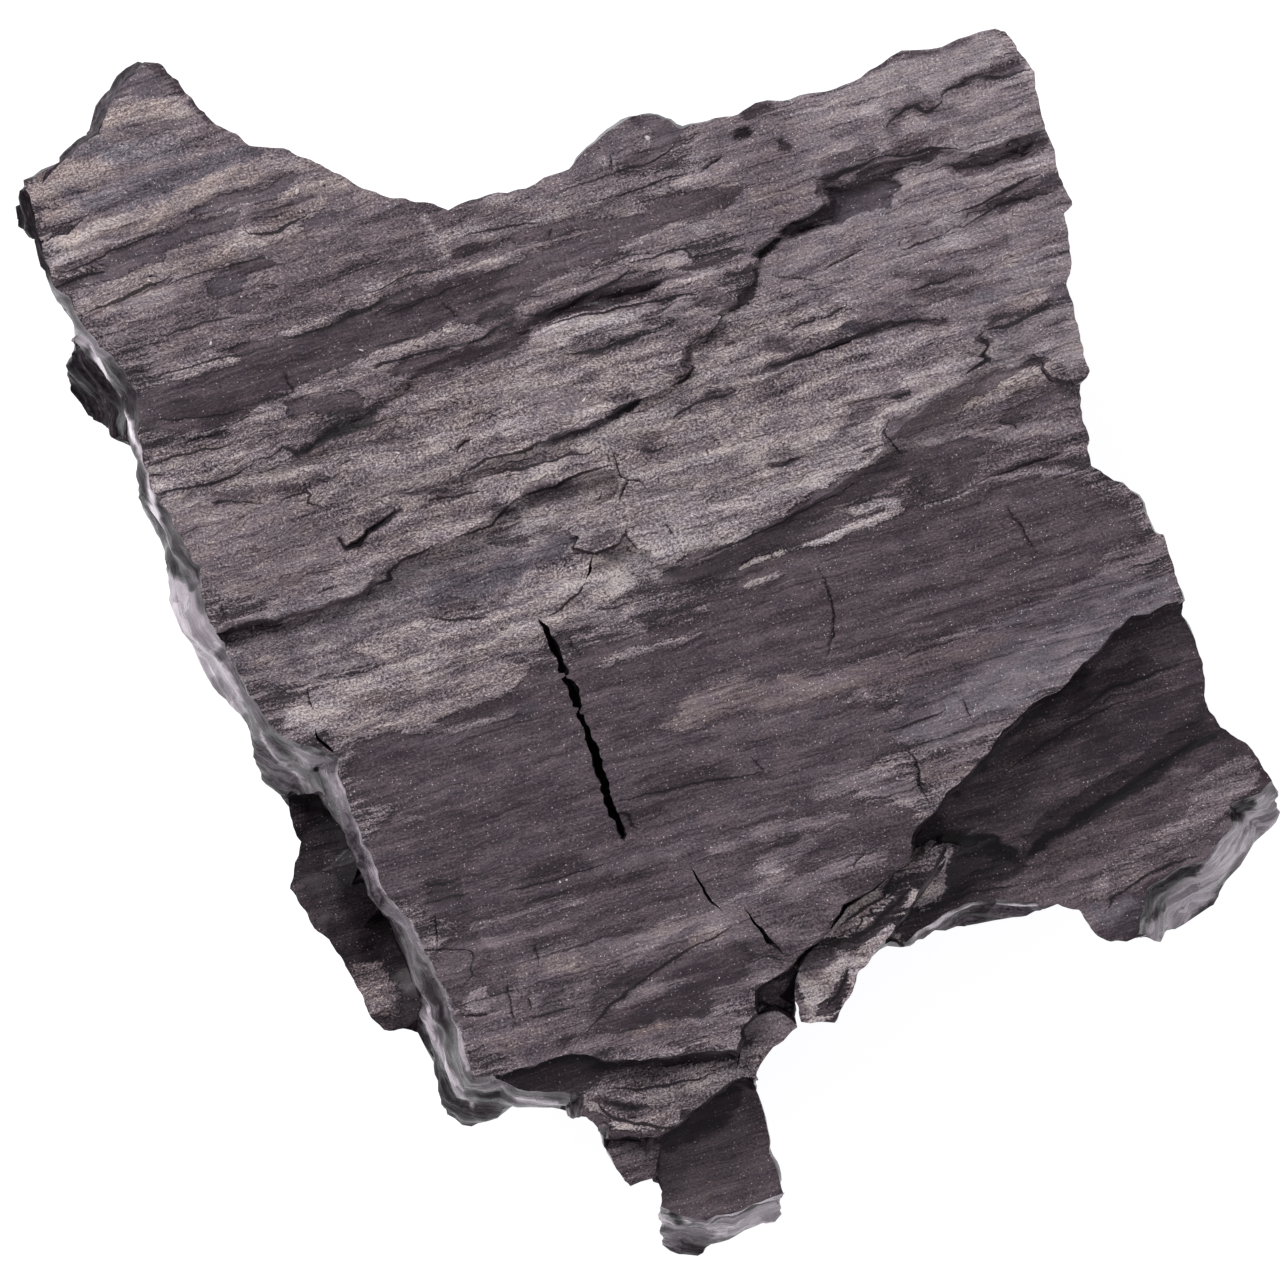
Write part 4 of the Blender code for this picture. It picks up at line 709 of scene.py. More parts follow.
    (0.40, 0.30, 0.00, 0.25, [(-9.5, -15.6), (-6.5, -14.8), (-3.5, -14.2)]),
    (0.30, 0.20, 0.00, 0.35, [(-2.6, -17.1), (-0.5, -16.9), (1.5, -16.3), (3.0, -15.7)]),
    (0.25, 0.08, -0.10, 0.95, [(1.2, -18.0), (2.6, -17.0), (4.2, -16.0), (5.0, -15.6)]),
    (0.25, 0.08, -0.05, 0.60, [(-2.2, -19.4), (-0.6, -18.9), (1.0, -18.5), (3.0, -18.4)]),
    (0.22, 0.15, 0.00, 0.35, [(-4.4, -20.1), (-3.8, -19.9)]),
    (0.34, 0.20, 0.00, 0.35, [(-6.5, -18.2), (-5.9, -18.2)]),
    (0.38, 0.20, 0.00, 0.25, [(-10.0, -19.3), (-8.0, -18.9)]),
    (0.38, 0.20, 0.00, 0.3, [(-13.0, -12.6), (-11.8, -12.2)]),
]
print("dark bands:", len(DARK_BANDS))

# %% [markdown]
# Pale crust: ragged ridges and films of dust between the dark bands, mostly rough and tan.
# Some are only a film of wood fibres along the lip of a flake.

# %% Pale crust
PALE_CRUST = [
    # the back corner
    (0.66, 0.80, 0.70, 0.55, [(-27.2, 26.0), (-25.0, 26.6), (-22.9, 26.3)]),
    (0.68, 0.60, 0.30, 0.35, [(-23.8, 26.9), (-22.9, 26.6)]),
    (0.58, 0.80, 0.60, 0.9, [(-30.4, 22.0), (-29.0, 23.4), (-27.0, 23.2)]),
    (0.56, 0.80, 0.55, 0.6, [(-29.9, 20.9), (-28.6, 21.6)]),
    (0.63, 0.75, 0.60, 0.5, [(-29.4, 19.7), (-27.5, 20.6), (-25.0, 20.9), (-23.1, 22.0), (-21.6, 22.8),
                             (-20.0, 23.3), (-18.6, 24.2)]),
    (0.66, 0.60, 0.40, 0.14, [(-29.7, 18.7), (-27.2, 19.6), (-24.9, 20.4), (-22.5, 21.2)]),
    (0.62, 0.60, 0.30, 0.09, [(-29.6, 18.0), (-28.2, 18.4), (-27.0, 18.7)]),
    (0.67, 0.80, 0.55, 0.42, [(-26.6, 17.6), (-24.6, 18.2), (-23.1, 18.6), (-21.6, 19.1), (-20.0, 19.8),
                              (-18.5, 20.6), (-17.0, 21.4), (-16.2, 22.0)]),
    (0.70, 0.75, 0.40, 0.6, [(-20.4, 19.6), (-19.0, 20.1), (-17.6, 20.6)]),
    (0.62, 0.80, 0.50, 0.4, [(-28.5, 16.5), (-26.8, 17.2), (-25.2, 17.6)]),
    (0.66, 0.70, 0.45, 0.4, [(-17.3, 22.4), (-16.0, 22.8), (-14.8, 22.7)]),
    (0.70, 0.80, 0.70, 0.25, [(-18.0, 22.2), (-17.3, 22.6)]),
    (0.62, 0.70, 0.20, 0.4, [(-19.4, 23.6), (-18.0, 23.9), (-17.0, 23.5)]),
    (0.65, 0.90, 0.20, 0.22, [(-11.2, 21.2), (-10.7, 20.4), (-10.3, 19.5), (-9.9, 18.8)]),
    (0.69, 0.90, 0.25, 0.22, [(-14.0, 17.6), (-12.8, 17.9), (-11.8, 18.3), (-10.4, 18.2), (-8.3, 18.9),
                              (-6.4, 19.3)]),
    (0.70, 1.00, 0.20, 0.26, [(-18.5, 15.2), (-17.3, 15.6), (-16.0, 15.9), (-15.0, 16.6), (-13.9, 16.9),
                              (-13.0, 17.4)]),
    (0.62, 1.00, 0.15, 0.4, [(-23.4, 13.2), (-22.0, 13.8), (-20.6, 14.0)]),
    (0.62, 0.90, 0.10, 0.3, [(-11.0, 20.1), (-7.0, 20.5), (-4.0, 21.4), (-1.0, 22.6)]),
    (0.60, 0.80, 0.10, 0.35, [(-8.0, 22.0), (-5.0, 21.8), (-2.0, 22.4), (1.0, 23.3)]),
    # along and below the long dark band
    (0.63, 0.85, 0.30, 0.45, [(-17.6, 12.3), (-15.0, 13.2), (-13.4, 13.9), (-12.0, 14.5), (-10.0, 15.3),
                              (-8.2, 15.6)]),
    (0.62, 1.00, 0.15, 0.4, [(-19.7, 10.3), (-19.1, 11.1), (-18.4, 11.6)]),
    (0.64, 1.00, 0.20, 0.42, [(-18.6, 10.3), (-17.6, 10.5), (-16.6, 10.9)]),
    (0.62, 0.90, 0.20, 0.5, [(-24.8, 8.8), (-22.5, 9.2), (-20.2, 9.5)]),
    (0.60, 1.00, 0.25, 0.7, [(-24.6, 8.0), (-21.0, 8.2), (-18.5, 8.7), (-16.5, 8.6)]),
    (0.66, 0.90, 0.35, 0.3, [(-24.0, 6.9), (-23.0, 7.2)]),
    (0.67, 0.70, 0.20, 0.42, [(-5.6, 15.1), (-3.7, 15.8), (-1.6, 16.4), (0.2, 16.9)]),
    (0.62, 0.50, 0.15, 0.28, [(-5.4, 16.8), (-3.1, 17.7), (-0.9, 18.5)]),
    (0.62, 0.55, 0.20, 0.45, [(-0.9, 18.7), (1.5, 18.9), (2.4, 19.3)]),
    (0.62, 0.70, 0.15, 0.3, [(0.6, 17.3), (2.2, 17.6), (3.6, 18.2)]),
    (0.60, 0.60, 0.10, 0.4, [(-1.0, 19.6), (2.0, 20.4), (4.8, 21.0), (6.4, 20.9)]),
    (0.64, 0.55, 0.30, 0.45, [(1.5, 22.8), (3.8, 23.1), (5.0, 23.4)]),
    (0.64, 0.50, 0.30, 0.85, [(5.3, 22.6), (6.6, 22.2), (8.0, 22.1)]),
    (0.60, 0.60, 0.10, 0.5, [(1.2, 16.4), (2.4, 16.2), (3.2, 15.8)]),
    # the centre
    (0.63, 1.00, 0.32, 1.2, [(-12.0, 10.5), (-8.0, 12.5), (-4.0, 13.4), (0.0, 13.6)]),
    (0.57, 1.00, 0.15, 1.0, [(-16.0, 8.0), (-12.5, 9.2)]),
    (0.60, 0.60, 0.00, 0.8, [(-5.5, 11.8), (-3.2, 11.8)]),
    (0.64, 1.00, 0.15, 0.6, [(-4.4, 14.9), (-2.4, 15.3), (-0.4, 15.8)]),
    (0.61, 1.00, 0.26, 1.1, [(-1.0, 9.8), (3.0, 10.6), (7.0, 12.2)]),
    (0.62, 0.95, 0.10, 1.0, [(0.4, 6.6), (3.0, 6.7), (5.0, 7.3)]),
    # the pale band below the middle plate
    (0.72, 1.00, 0.28, 1.2, [(-17.6, -3.9), (-14.0, -2.9), (-10.0, -1.2), (-6.6, 0.6), (-4.0, 1.9),
                             (-1.0, 3.3)]),
    (0.69, 1.00, 0.28, 0.7, [(-14.0, -0.4), (-10.0, 0.4), (-7.0, 1.2)]),
    (0.73, 1.00, 0.28, 0.9, [(-6.4, 2.3), (-4.0, 3.0), (-2.0, 3.9)]),
    (0.60, 0.90, 0.30, 0.9, [(-15.6, -4.4), (-11.0, -3.2), (-6.4, -1.6)]),
    (0.64, 1.00, 0.10, 0.7, [(-1.0, 3.6), (1.5, 4.9), (4.6, 5.6), (7.5, 7.4)]),
    (0.66, 0.90, 0.15, 0.22, [(0.5, 3.4), (3.0, 4.9), (6.0, 6.4), (8.0, 7.4), (11.0, 8.9), (13.0, 10.2)]),
    (0.62, 0.80, 0.50, 0.3, [(-19.2, -1.1), (-17.8, -0.9)]),
    (0.46, 0.80, 0.00, 0.12, [(-15.8, -2.9), (-13.6, -2.2), (-11.4, -1.5)]),
    (0.48, 0.80, 0.00, 0.12, [(-13.0, -1.1), (-10.6, -0.4), (-8.4, 0.2)]),
    (0.46, 0.80, 0.00, 0.10, [(-12.0, -2.6), (-9.4, -1.6), (-7.2, -0.6)]),
    (0.50, 0.80, 0.00, 0.12, [(-8.6, 1.2), (-6.6, 1.8), (-4.6, 2.7)]),
    (0.62, 0.90, 0.10, 0.7, [(8.0, 8.4), (10.0, 9.4), (11.6, 10.6)]),
    (0.67, 0.70, 0.20, 0.2, [(11.0, 10.9), (13.8, 12.2), (16.3, 13.4), (19.0, 14.3)]),
    (0.64, 0.90, 0.10, 0.5, [(10.0, 13.6), (13.5, 14.3), (16.2, 14.8)]),
    (0.60, 1.00, 0.45, 0.42, [(16.2, 11.7), (17.8, 12.3), (19.0, 13.0), (20.0, 13.6)]),
    (0.60, 0.30, 0.05, 0.9, [(21.0, 16.6), (21.3, 14.6), (21.4, 13.6)]),
    (0.61, 0.50, -0.15, 0.6, [(17.4, 15.2), (18.8, 15.4), (20.4, 16.0)]),
    (0.61, 0.60, 0.00, 0.6, [(17.4, 14.0), (19.2, 14.6)]),
    (0.60, 0.50, 0.10, 0.3, [(17.8, 10.3), (20.8, 10.8)]),
    (0.56, 0.50, 0.05, 0.25, [(12.0, 9.6), (16.0, 10.4), (21.8, 10.6)]),
    (0.74, 1.00, 0.25, 0.22, [(4.8, 3.7), (6.2, 4.3), (8.6, 4.9), (10.0, 5.4), (11.0, 5.8), (12.3, 6.3),
                              (13.0, 6.5)]),
    (0.68, 1.00, 0.10, 0.22, [(10.2, 6.3), (11.5, 6.8), (12.6, 6.8)]),
    (0.74, 0.60, 0.10, 0.11, [(13.5, 6.7), (14.4, 6.9), (15.4, 7.2), (16.6, 7.6)]),
    (0.56, 0.50, 0.00, 0.15, [(16.6, 7.8), (19.0, 8.4), (21.6, 8.4)]),
    (0.62, 0.90, 0.10, 0.14, [(5.0, 2.8), (6.6, 3.2)]),
    # the north-east part
    (0.63, 0.50, 0.05, 0.7, [(12.8, 22.6), (13.6, 23.3), (14.4, 22.6)]),
    (0.63, 0.60, 0.20, 0.35, [(15.0, 22.0), (17.5, 22.9), (19.6, 23.9)]),
    (0.64, 0.40, 0.10, 0.45, [(16.2, 26.5), (17.2, 26.8)]),
    (0.64, 0.40, 0.10, 0.5, [(8.0, 26.2), (11.0, 26.9), (13.0, 28.2), (16.0, 29.2)]),
    (0.68, 1.00, 0.10, 0.14, [(14.2, 16.6), (15.6, 17.0)]),
    (0.66, 0.60, 0.35, 0.38, [(18.1, 16.5), (19.2, 16.9), (20.0, 17.3)]),
    (0.52, 0.40, -0.45, 0.5, [(16.8, 17.1), (18.0, 17.5)]),
    (0.65, 0.80, 0.40, 0.35, [(7.8, 15.7), (9.2, 15.9)]),
    (0.60, 0.50, 0.00, 0.8, [(7.5, 17.0), (10.0, 18.0), (13.0, 19.3)]),
    (0.62, 0.60, 0.20, 0.25, [(16.8, 18.6), (19.0, 19.2)]),
    # the dark plateau and its east edge
    (0.52, 0.30, 0.10, 0.35, [(23.0, 4.0), (24.5, 4.3), (26.0, 4.5)]),
    (0.44, 0.12, -0.30, 2.1, [(13.2, -4.2), (16.4, -2.4), (20.0, -0.2), (25.6, 2.4)]),
    (0.55, 0.12, -0.35, 1.1, [(15.2, -3.6), (18.4, -1.9), (20.9, -0.5), (23.0, 0.9), (26.0, 2.6)]),
    (0.51, 0.15, -0.40, 0.6, [(13.2, -4.9), (16.0, -3.9)]),
    (0.46, 0.25, 0.40, 0.7, [(7.0, -2.6), (10.7, -1.8), (14.0, -0.9), (17.6, 0.0)]),
    (0.49, 0.22, 0.45, 0.9, [(2.0, -3.4), (5.0, -2.8), (8.0, -2.5)]),
    (0.53, 0.35, 0.30, 0.55, [(14.0, -6.6), (15.2, -6.4), (16.4, -5.5)]),
    (0.50, 0.50, 0.50, 0.3, [(0.8, -4.3), (3.0, -4.1)]),
    (0.54, 0.90, 0.00, 0.22, [(-2.4, -1.3), (0.0, -0.4), (2.6, 0.2)]),
    (0.52, 0.90, 0.00, 0.2, [(-4.0, 0.9), (-1.6, 1.2), (1.0, 1.9)]),
    (0.50, 0.70, 0.00, 0.2, [(-12.0, -4.6), (-9.0, -4.4), (-6.5, -3.6)]),
    (0.48, 0.40, 0.10, 0.3, [(-12.5, -9.0), (-11.0, -8.9)]),
    # the front
    (0.47, 0.25, 0.00, 0.45, [(8.0, -7.6), (11.0, -7.0), (13.6, -7.6)]),
    (0.47, 0.25, 0.00, 0.4, [(3.0, -10.6), (6.5, -9.6), (10.0, -8.8)]),
    (0.44, 0.25, 0.10, 0.75, [(-6.2, -16.6), (-2.0, -15.6), (2.0, -14.6), (5.0, -13.9)]),
    (0.57, 0.35, 0.50, 0.4, [(2.2, -15.1), (3.6, -14.6)]),
    (0.55, 0.35, 0.50, 0.45, [(-5.0, -16.4), (-3.4, -16.1)]),
    (0.44, 0.25, 0.00, 0.3, [(-9.0, -14.4), (-6.0, -13.5), (-3.4, -13.0)]),
    (0.52, 0.50, 0.00, 0.5, [(-9.0, -18.1), (-7.8, -17.9)]),
    (0.50, 0.35, 0.00, 0.25, [(-1.0, -18.0), (2.0, -17.0)]),
    (0.52, 0.40, 0.05, 0.35, [(-3.4, -20.3), (0.0, -20.0), (3.0, -19.3), (4.8, -19.0)]),
    (0.56, 0.40, 0.95, 0.24, [(-0.5, -19.7), (0.3, -19.4), (1.0, -19.3)]),
    (0.46, 0.50, 0.20, 0.5, [(-8.6, -20.5), (-6.0, -19.6), (-4.6, -19.4)]),
    (0.49, 0.25, 0.05, 0.4, [(7.0, -12.6), (9.5, -11.4), (12.0, -10.4)]),
    (0.47, 0.25, 0.00, 0.5, [(5.6, -11.2), (8.5, -10.2)]),
]
print("strokes of pale crust:", len(PALE_CRUST))

# %% [markdown]
# The lower steps have their own strokes. They are told apart from the top by height, so that
# a tone ends exactly at the lip of a plate.

# %% Steps
STEPS = [
    # the dark inner step and its shadow under the scarp
    (0.305, 0.15, -0.05, 6.0, [(17.0, -9.0), (22.0, -5.0), (26.0, -1.0)]),
    (0.08, 0.10, 0.00, 0.50, [(15.6, -7.6), (16.9, -5.8), (18.5, -4.2), (20.7, -2.8), (22.3, -1.4)]),
    (0.20, 0.15, 0.00, 0.35, [(22.4, -1.2), (23.8, 0.3), (25.0, 0.9), (26.6, 1.4)]),
    (0.29, 0.30, 0.20, 0.80, [(17.6, -6.6), (20.4, -4.6), (23.0, -3.0), (26.4, -1.8)]),
    (0.30, 0.20, 0.00, 0.50, [(23.8, -0.8), (25.4, 0.2), (27.0, 0.8)]),
    (0.08, 0.10, 0.00, 0.16, [(20.6, -4.1), (21.8, -3.6), (23.2, -2.5), (24.8, -1.9), (26.8, -1.2)]),
    (0.22, 0.10, -0.30, 1.00, [(22.0, -6.6), (25.0, -4.2), (28.0, -3.2)]),
    (0.28, 0.25, 0.00, 0.55, [(20.2, -8.9), (22.4, -7.4), (25.0, -5.9)]),
    # the outer step, brown and brushed
    (0.40, 0.35, 0.10, 2.30, [(17.5, -13.4), (21.0, -12.9), (25.0, -10.8), (29.5, -7.6)]),
    (0.33, 0.30, 0.15, 0.90, [(19.4, -12.0), (22.0, -10.6), (25.0, -8.8), (27.6, -7.4)]),
    (0.50, 0.55, 0.10, 0.80, [(22.5, -12.8), (25.5, -10.9), (28.6, -8.4), (30.6, -6.9)]),
    (0.43, 0.50, 0.05, 0.45, [(27.2, -8.0), (29.2, -6.7), (30.6, -6.2)]),
    (0.36, 0.20, -0.50, 0.60, [(22.8, -13.6), (23.8, -14.2), (24.2, -13.2)]),
    # the next three rows: painted shade on the sides of the folds that face away from the lamp
    (0.05, 0.10, 0.00, 0.26, [(19.0, -11.1), (20.0, -10.2), (21.5, -9.3), (23.1, -8.2), (24.8, -7.2),
                              (26.2, -6.3), (27.4, -5.3), (28.7, -4.8)]),
    (0.19, 0.12, -0.20, 0.90, [(18.8, -11.4), (17.8, -11.0), (16.2, -11.2), (14.4, -12.0)]),
    (0.04, 0.10, 0.00, 0.28, [(18.9, -11.4), (18.3, -10.6), (17.3, -10.2), (15.9, -9.9), (14.4, -10.2)]),
    (0.15, 0.10, 0.00, 0.30, [(13.6, -13.6), (15.0, -12.9), (16.4, -12.4)]),
    (0.30, 0.25, 0.00, 0.40, [(14.6, -14.2), (16.4, -13.0), (18.0, -12.6)]),
    (0.19, 0.05, -0.10, 0.42, [(24.8, -13.0), (26.2, -11.9), (27.7, -11.5)]),
    (0.20, 0.05, -0.60, 0.42, [(23.6, -14.7), (24.9, -13.7), (25.9, -12.9)]),
    (0.12, 0.05, 0.00, 0.42, [(29.5, -8.8), (30.7, -8.1)]),
    # painted shadow below the lip above
    (0.20, 0.20, 0.00, 0.70, [(13.2, -10.2), (14.8, -9.2)]),
    # the flap
    (0.78, 0.80, 0.25, 1.70, [(14.6, -10.9), (11.5, -13.6), (9.4, -17.0), (8.6, -18.6)]),
    (0.62, 0.80, 0.50, 0.30, [(15.0, -10.5), (14.2, -11.4), (13.8, -12.4)]),
    (0.60, 0.80, 0.50, 0.30, [(13.0, -11.9), (11.8, -12.7)]),
    (0.62, 0.80, 0.45, 0.35, [(11.6, -14.0), (9.8, -15.0)]),
    (0.62, 0.80, 0.30, 0.40, [(8.6, -17.0), (9.6, -17.6)]),
    (0.30, 0.20, 0.00, 0.27, [(13.2, -12.6), (11.4, -14.6), (10.2, -15.4), (8.0, -15.6)]),
    (0.34, 0.15, 0.00, 0.30, [(10.0, -16.8), (9.7, -17.8), (8.8, -18.8)]),
    (0.28, 0.30, 0.00, 0.40, [(12.6, -14.6), (13.6, -13.6)]),
    (0.40, 0.40, 0.00, 0.50, [(9.4, -15.6), (8.0, -16.8)]),
    # the lump and the front step
    (0.40, 0.40, 0.00, 1.20, [(5.2, -19.6), (6.8, -19.2), (6.0, -20.8)]),
    (0.42, 0.40, 0.00, 0.90, [(6.0, -17.6), (7.2, -18.2)]),
    (0.50, 0.95, 0.15, 1.50, [(-2.6, -23.0), (0.4, -22.6), (3.4, -21.8), (5.4, -21.0)]),
    (0.60, 0.95, 0.25, 0.45, [(-1.6, -24.2), (0.0, -24.5), (1.6, -23.8)]),
    (0.58, 0.90, 0.10, 0.40, [(1.6, -22.0), (3.4, -22.3), (4.6, -21.4)]),
    (0.38, 0.60, 0.00, 0.40, [(-2.4, -22.0), (-1.0, -21.6), (0.6, -21.6)]),
    (0.26, 0.08, -0.10, 1.20, [(-7.0, -22.1), (-5.2, -21.9), (-3.4, -21.9)]),
    (0.14, 0.20, 0.00, 0.14, [(-2.6, -23.1), (-1.3, -23.4), (0.0, -23.4)]),
    (0.22, 0.20, 0.00, 0.30, [(-2.6, -23.8), (-1.8, -25.0), (-0.2, -24.9), (1.0, -24.9)]),
    # painted shadow under the edge of the plate above the front step
    (0.09, 0.05, 0.00, 0.26, [(-7.2, -21.9), (-5.0, -21.2), (-3.6, -20.9), (-2.0, -21.3), (1.0, -21.1),
                              (4.6, -20.8)]),
    (0.33, 0.50, 0.05, 1.00, [(-1.6, -25.8), (-0.6, -26.5), (0.2, -26.2)]),
]
print("strokes on the steps:", len(STEPS))

# %% [markdown]
# The tongue is a smooth chip at the front, with a painted shadow below the step behind it. The
# ledges low on the west side are old breaks, dark and dull.

# %% Tongue and ledges
TONGUE = [
    (0.40, 0.18, 0.10, 5.00, [(2.0, -25.0), (4.5, -27.0)]),
    # painted shadow on the tongue, below the step behind it
    (0.15, 0.05, 0.00, 0.90, [(0.4, -25.2), (2.0, -24.5), (3.4, -23.9), (4.4, -22.6)]),
    (0.39, 0.25, 0.10, 0.90, [(2.6, -28.0), (5.6, -27.4)]),
    (0.34, 0.25, 0.10, 0.70, [(5.4, -23.0), (6.2, -25.6)]),
]
LEDGES = [
    (0.17, 0.45, 0.00, 30.0, [(-29.0, 12.0), (-17.0, -12.0)]),
    (0.06, 0.12, 0.00, 2.2, [(-16.6, -8.6), (-15.6, -11.0), (-14.4, -14.0), (-12.9, -16.6)]),
    (0.15, 0.30, 0.00, 0.7, [(-16.9, -9.8), (-16.5, -12.4), (-15.8, -14.6), (-14.8, -16.2)]),
    (0.33, 0.30, 0.00, 0.12, [(-16.8, -9.7), (-16.1, -11.2), (-15.9, -12.8), (-15.7, -14.6)]),
    (0.48, 0.95, 0.40, 1.05, [(-14.6, -16.8), (-13.8, -17.9), (-13.1, -18.8)]),
    (0.13, 0.20, 0.00, 0.5, [(-12.4, -16.8), (-12.0, -18.2), (-11.7, -19.2)]),
    (0.38, 0.80, 0.10, 0.22, [(-28.2, 13.4), (-27.2, 12.4), (-26.6, 11.2)]),
]
print("strokes on the tongue and the ledges:", len(TONGUE), len(LEDGES))

# %% [markdown]
# The sides are broken, not weathered. Long facets show a pale frosty face and sharp pale
# edges, while old breaks and recesses stay dark. The pale tones are mostly painted reflection
# of the white table, with some frost of the break, and the thin pale rows along sharp edges
# are painted highlights. Each row gives a tone, the share of the gloss that is left, a half
# width and the line that the stroke follows from above.

# %% Sides
SIDES = [
    # tone, gloss, half width, points from end to end
    # the west side, from its back corner down
    (0.28, 0.10, 1.6, [(-25.2, 28.9), (-27.0, 27.4), (-28.0, 25.4), (-29.6, 23.6), (-31.0, 23.0)]),
    (0.17, 0.05, 1.6, [(-31.6, 22.4), (-31.4, 21.0), (-30.6, 19.6), (-30.3, 18.2)]),
    (0.68, 1.00, 0.55, [(-29.5, 17.4), (-28.9, 16.4), (-28.0, 15.2), (-26.9, 14.3)]),
    (0.14, 0.30, 0.80, [(-27.6, 13.2), (-26.6, 13.0), (-25.8, 11.8), (-25.6, 10.8)]),
    (0.17, 0.04, 2.00, [(-29.8, 14.0), (-28.8, 12.4), (-27.6, 11.2), (-26.4, 10.2)]),
    (0.90, 0.80, 0.11, [(-28.0, 14.6), (-26.9, 13.0), (-26.4, 11.9), (-25.8, 10.9), (-25.4, 9.4),
                        (-24.9, 7.8)]),
    (0.13, 0.20, 0.90, [(-25.6, 7.8), (-25.2, 6.6), (-24.4, 5.2), (-23.4, 3.8), (-22.9, 2.8)]),
    (0.95, 0.90, 0.13, [(-24.9, 7.8), (-24.5, 6.6), (-23.8, 5.0), (-23.1, 3.9), (-22.5, 2.6)]),
    (0.74, 1.00, 0.85, [(-24.2, 3.2), (-23.2, 1.4), (-22.6, -0.4), (-21.8, -2.0), (-20.6, -3.6)]),
    (0.72, 1.00, 0.35, [(-22.5, 2.6), (-22.2, 0.9), (-21.5, -0.5)]),
    (0.30, 0.40, 0.22, [(-20.9, -1.4), (-20.2, -2.7), (-19.2, -4.1), (-18.2, -5.0)]),
    (0.36, 0.25, 0.80, [(-19.6, -5.2), (-18.6, -6.8), (-17.4, -8.0)]),
    (0.80, 0.80, 0.09, [(-19.5, -4.6), (-19.1, -5.6), (-18.0, -6.6), (-17.0, -7.5), (-16.2, -8.1)]),
    (0.22, 0.30, 0.14, [(-18.9, -5.0), (-18.2, -5.5), (-17.6, -6.2)]),
    (0.62, 0.50, 0.45, [(-17.8, -5.4), (-16.8, -6.0), (-15.8, -6.6), (-15.2, -7.6), (-14.4, -9.4),
                        (-13.7, -11.2), (-13.2, -12.6)]),
    (0.08, 0.10, 0.12, [(-16.6, -6.2), (-16.5, -7.0), (-16.2, -7.7)]),
    (0.30, 0.15, 0.45, [(-15.2, -9.6), (-14.4, -11.4), (-13.6, -13.0), (-12.6, -14.8)]),
    (0.55, 0.50, 0.40, [(-12.9, -13.2), (-12.1, -14.2), (-11.5, -15.2), (-11.2, -16.2)]),
    (0.60, 0.60, 0.25, [(-11.0, -15.8), (-10.4, -17.4), (-9.6, -18.6), (-9.1, -19.8), (-8.9, -21.6)]),
    (0.25, 0.30, 0.20, [(-11.3, -16.4), (-10.8, -18.0), (-10.1, -19.4), (-9.8, -20.8)]),
    (0.74, 0.75, 0.20, [(-11.1, -18.0), (-10.9, -19.8), (-10.3, -21.2), (-9.5, -22.5), (-8.9, -23.7)]),
    (0.13, 0.15, 0.45, [(-11.8, -19.8), (-11.2, -21.2), (-10.4, -22.8), (-9.6, -23.8)]),
    (0.55, 0.50, 0.70, [(-8.4, -22.4), (-7.4, -22.4)]),
    (0.16, 0.20, 0.30, [(-8.6, -23.2), (-7.4, -23.0)]),
    (0.76, 0.75, 0.18, [(-6.6, -23.1), (-5.2, -23.1), (-4.4, -23.2)]),
    (0.55, 0.50, 0.12, [(-3.2, -23.6), (-2.6, -24.6), (-1.9, -25.8), (-1.4, -26.8)]),
    # the tongue and the lower steps
    (0.72, 0.80, 1.10, [(0.8, -29.4), (3.0, -29.6), (5.4, -29.0), (7.2, -28.4)]),
    (0.95, 0.80, 0.10, [(0.8, -28.6), (1.8, -28.9), (3.6, -29.0), (5.4, -28.2), (6.8, -27.9)]),
    (0.50, 0.40, 0.60, [(0.6, -30.2), (1.8, -30.4), (3.2, -30.2)]),
    (0.25, 0.30, 0.07, [(1.2, -29.7), (3.0, -29.6), (4.8, -29.1), (6.8, -28.4)]),
    (0.15, 0.15, 0.25, [(1.2, -29.0), (1.8, -29.4)]),
    (0.37, 0.10, 0.90, [(14.0, -15.0), (16.0, -14.2), (18.6, -13.9), (20.6, -13.7)]),
    (0.88, 0.80, 0.08, [(13.6, -14.9), (15.2, -13.9), (16.4, -13.4), (18.2, -13.4), (20.0, -13.2)]),
    (0.78, 1.00, 0.30, [(21.9, -13.6), (22.5, -14.5), (23.1, -15.2)]),
    (0.68, 0.75, 0.80, [(25.8, -15.2), (27.4, -13.4), (29.0, -11.4), (30.4, -9.5), (31.6, -8.0)]),
    (0.15, 0.10, 0.45, [(24.8, -14.2), (25.5, -13.0), (26.8, -11.9), (28.0, -11.4)]),
    (0.12, 0.10, 0.42, [(29.5, -9.0), (30.6, -8.2)]),
    (0.25, 0.20, 0.25, [(25.5, -14.3), (26.3, -13.6)]),
    (0.62, 0.50, 0.60, [(30.6, -10.2), (31.6, -9.2), (31.6, -8.2)]),
    # the back
    (0.20, 0.15, 0.50, [(-24.6, 29.0), (-23.6, 28.0), (-21.6, 25.8), (-20.8, 25.4)]),
    (0.24, 0.15, 0.60, [(-1.2, 26.3), (0.4, 26.4), (1.6, 25.6), (3.4, 26.0), (4.8, 26.4)]),
    (0.22, 0.20, 0.50, [(4.8, 26.6), (6.2, 27.0), (8.0, 27.4), (10.8, 28.2), (12.6, 29.4), (15.0, 29.9)]),
]
print("strokes on the sides:", len(SIDES))

# %% [markdown]
# The dust is thicker in some places than in others, over bands and crust alike. These broad,
# soft strokes make the film a little paler or darker without hiding what is below them.

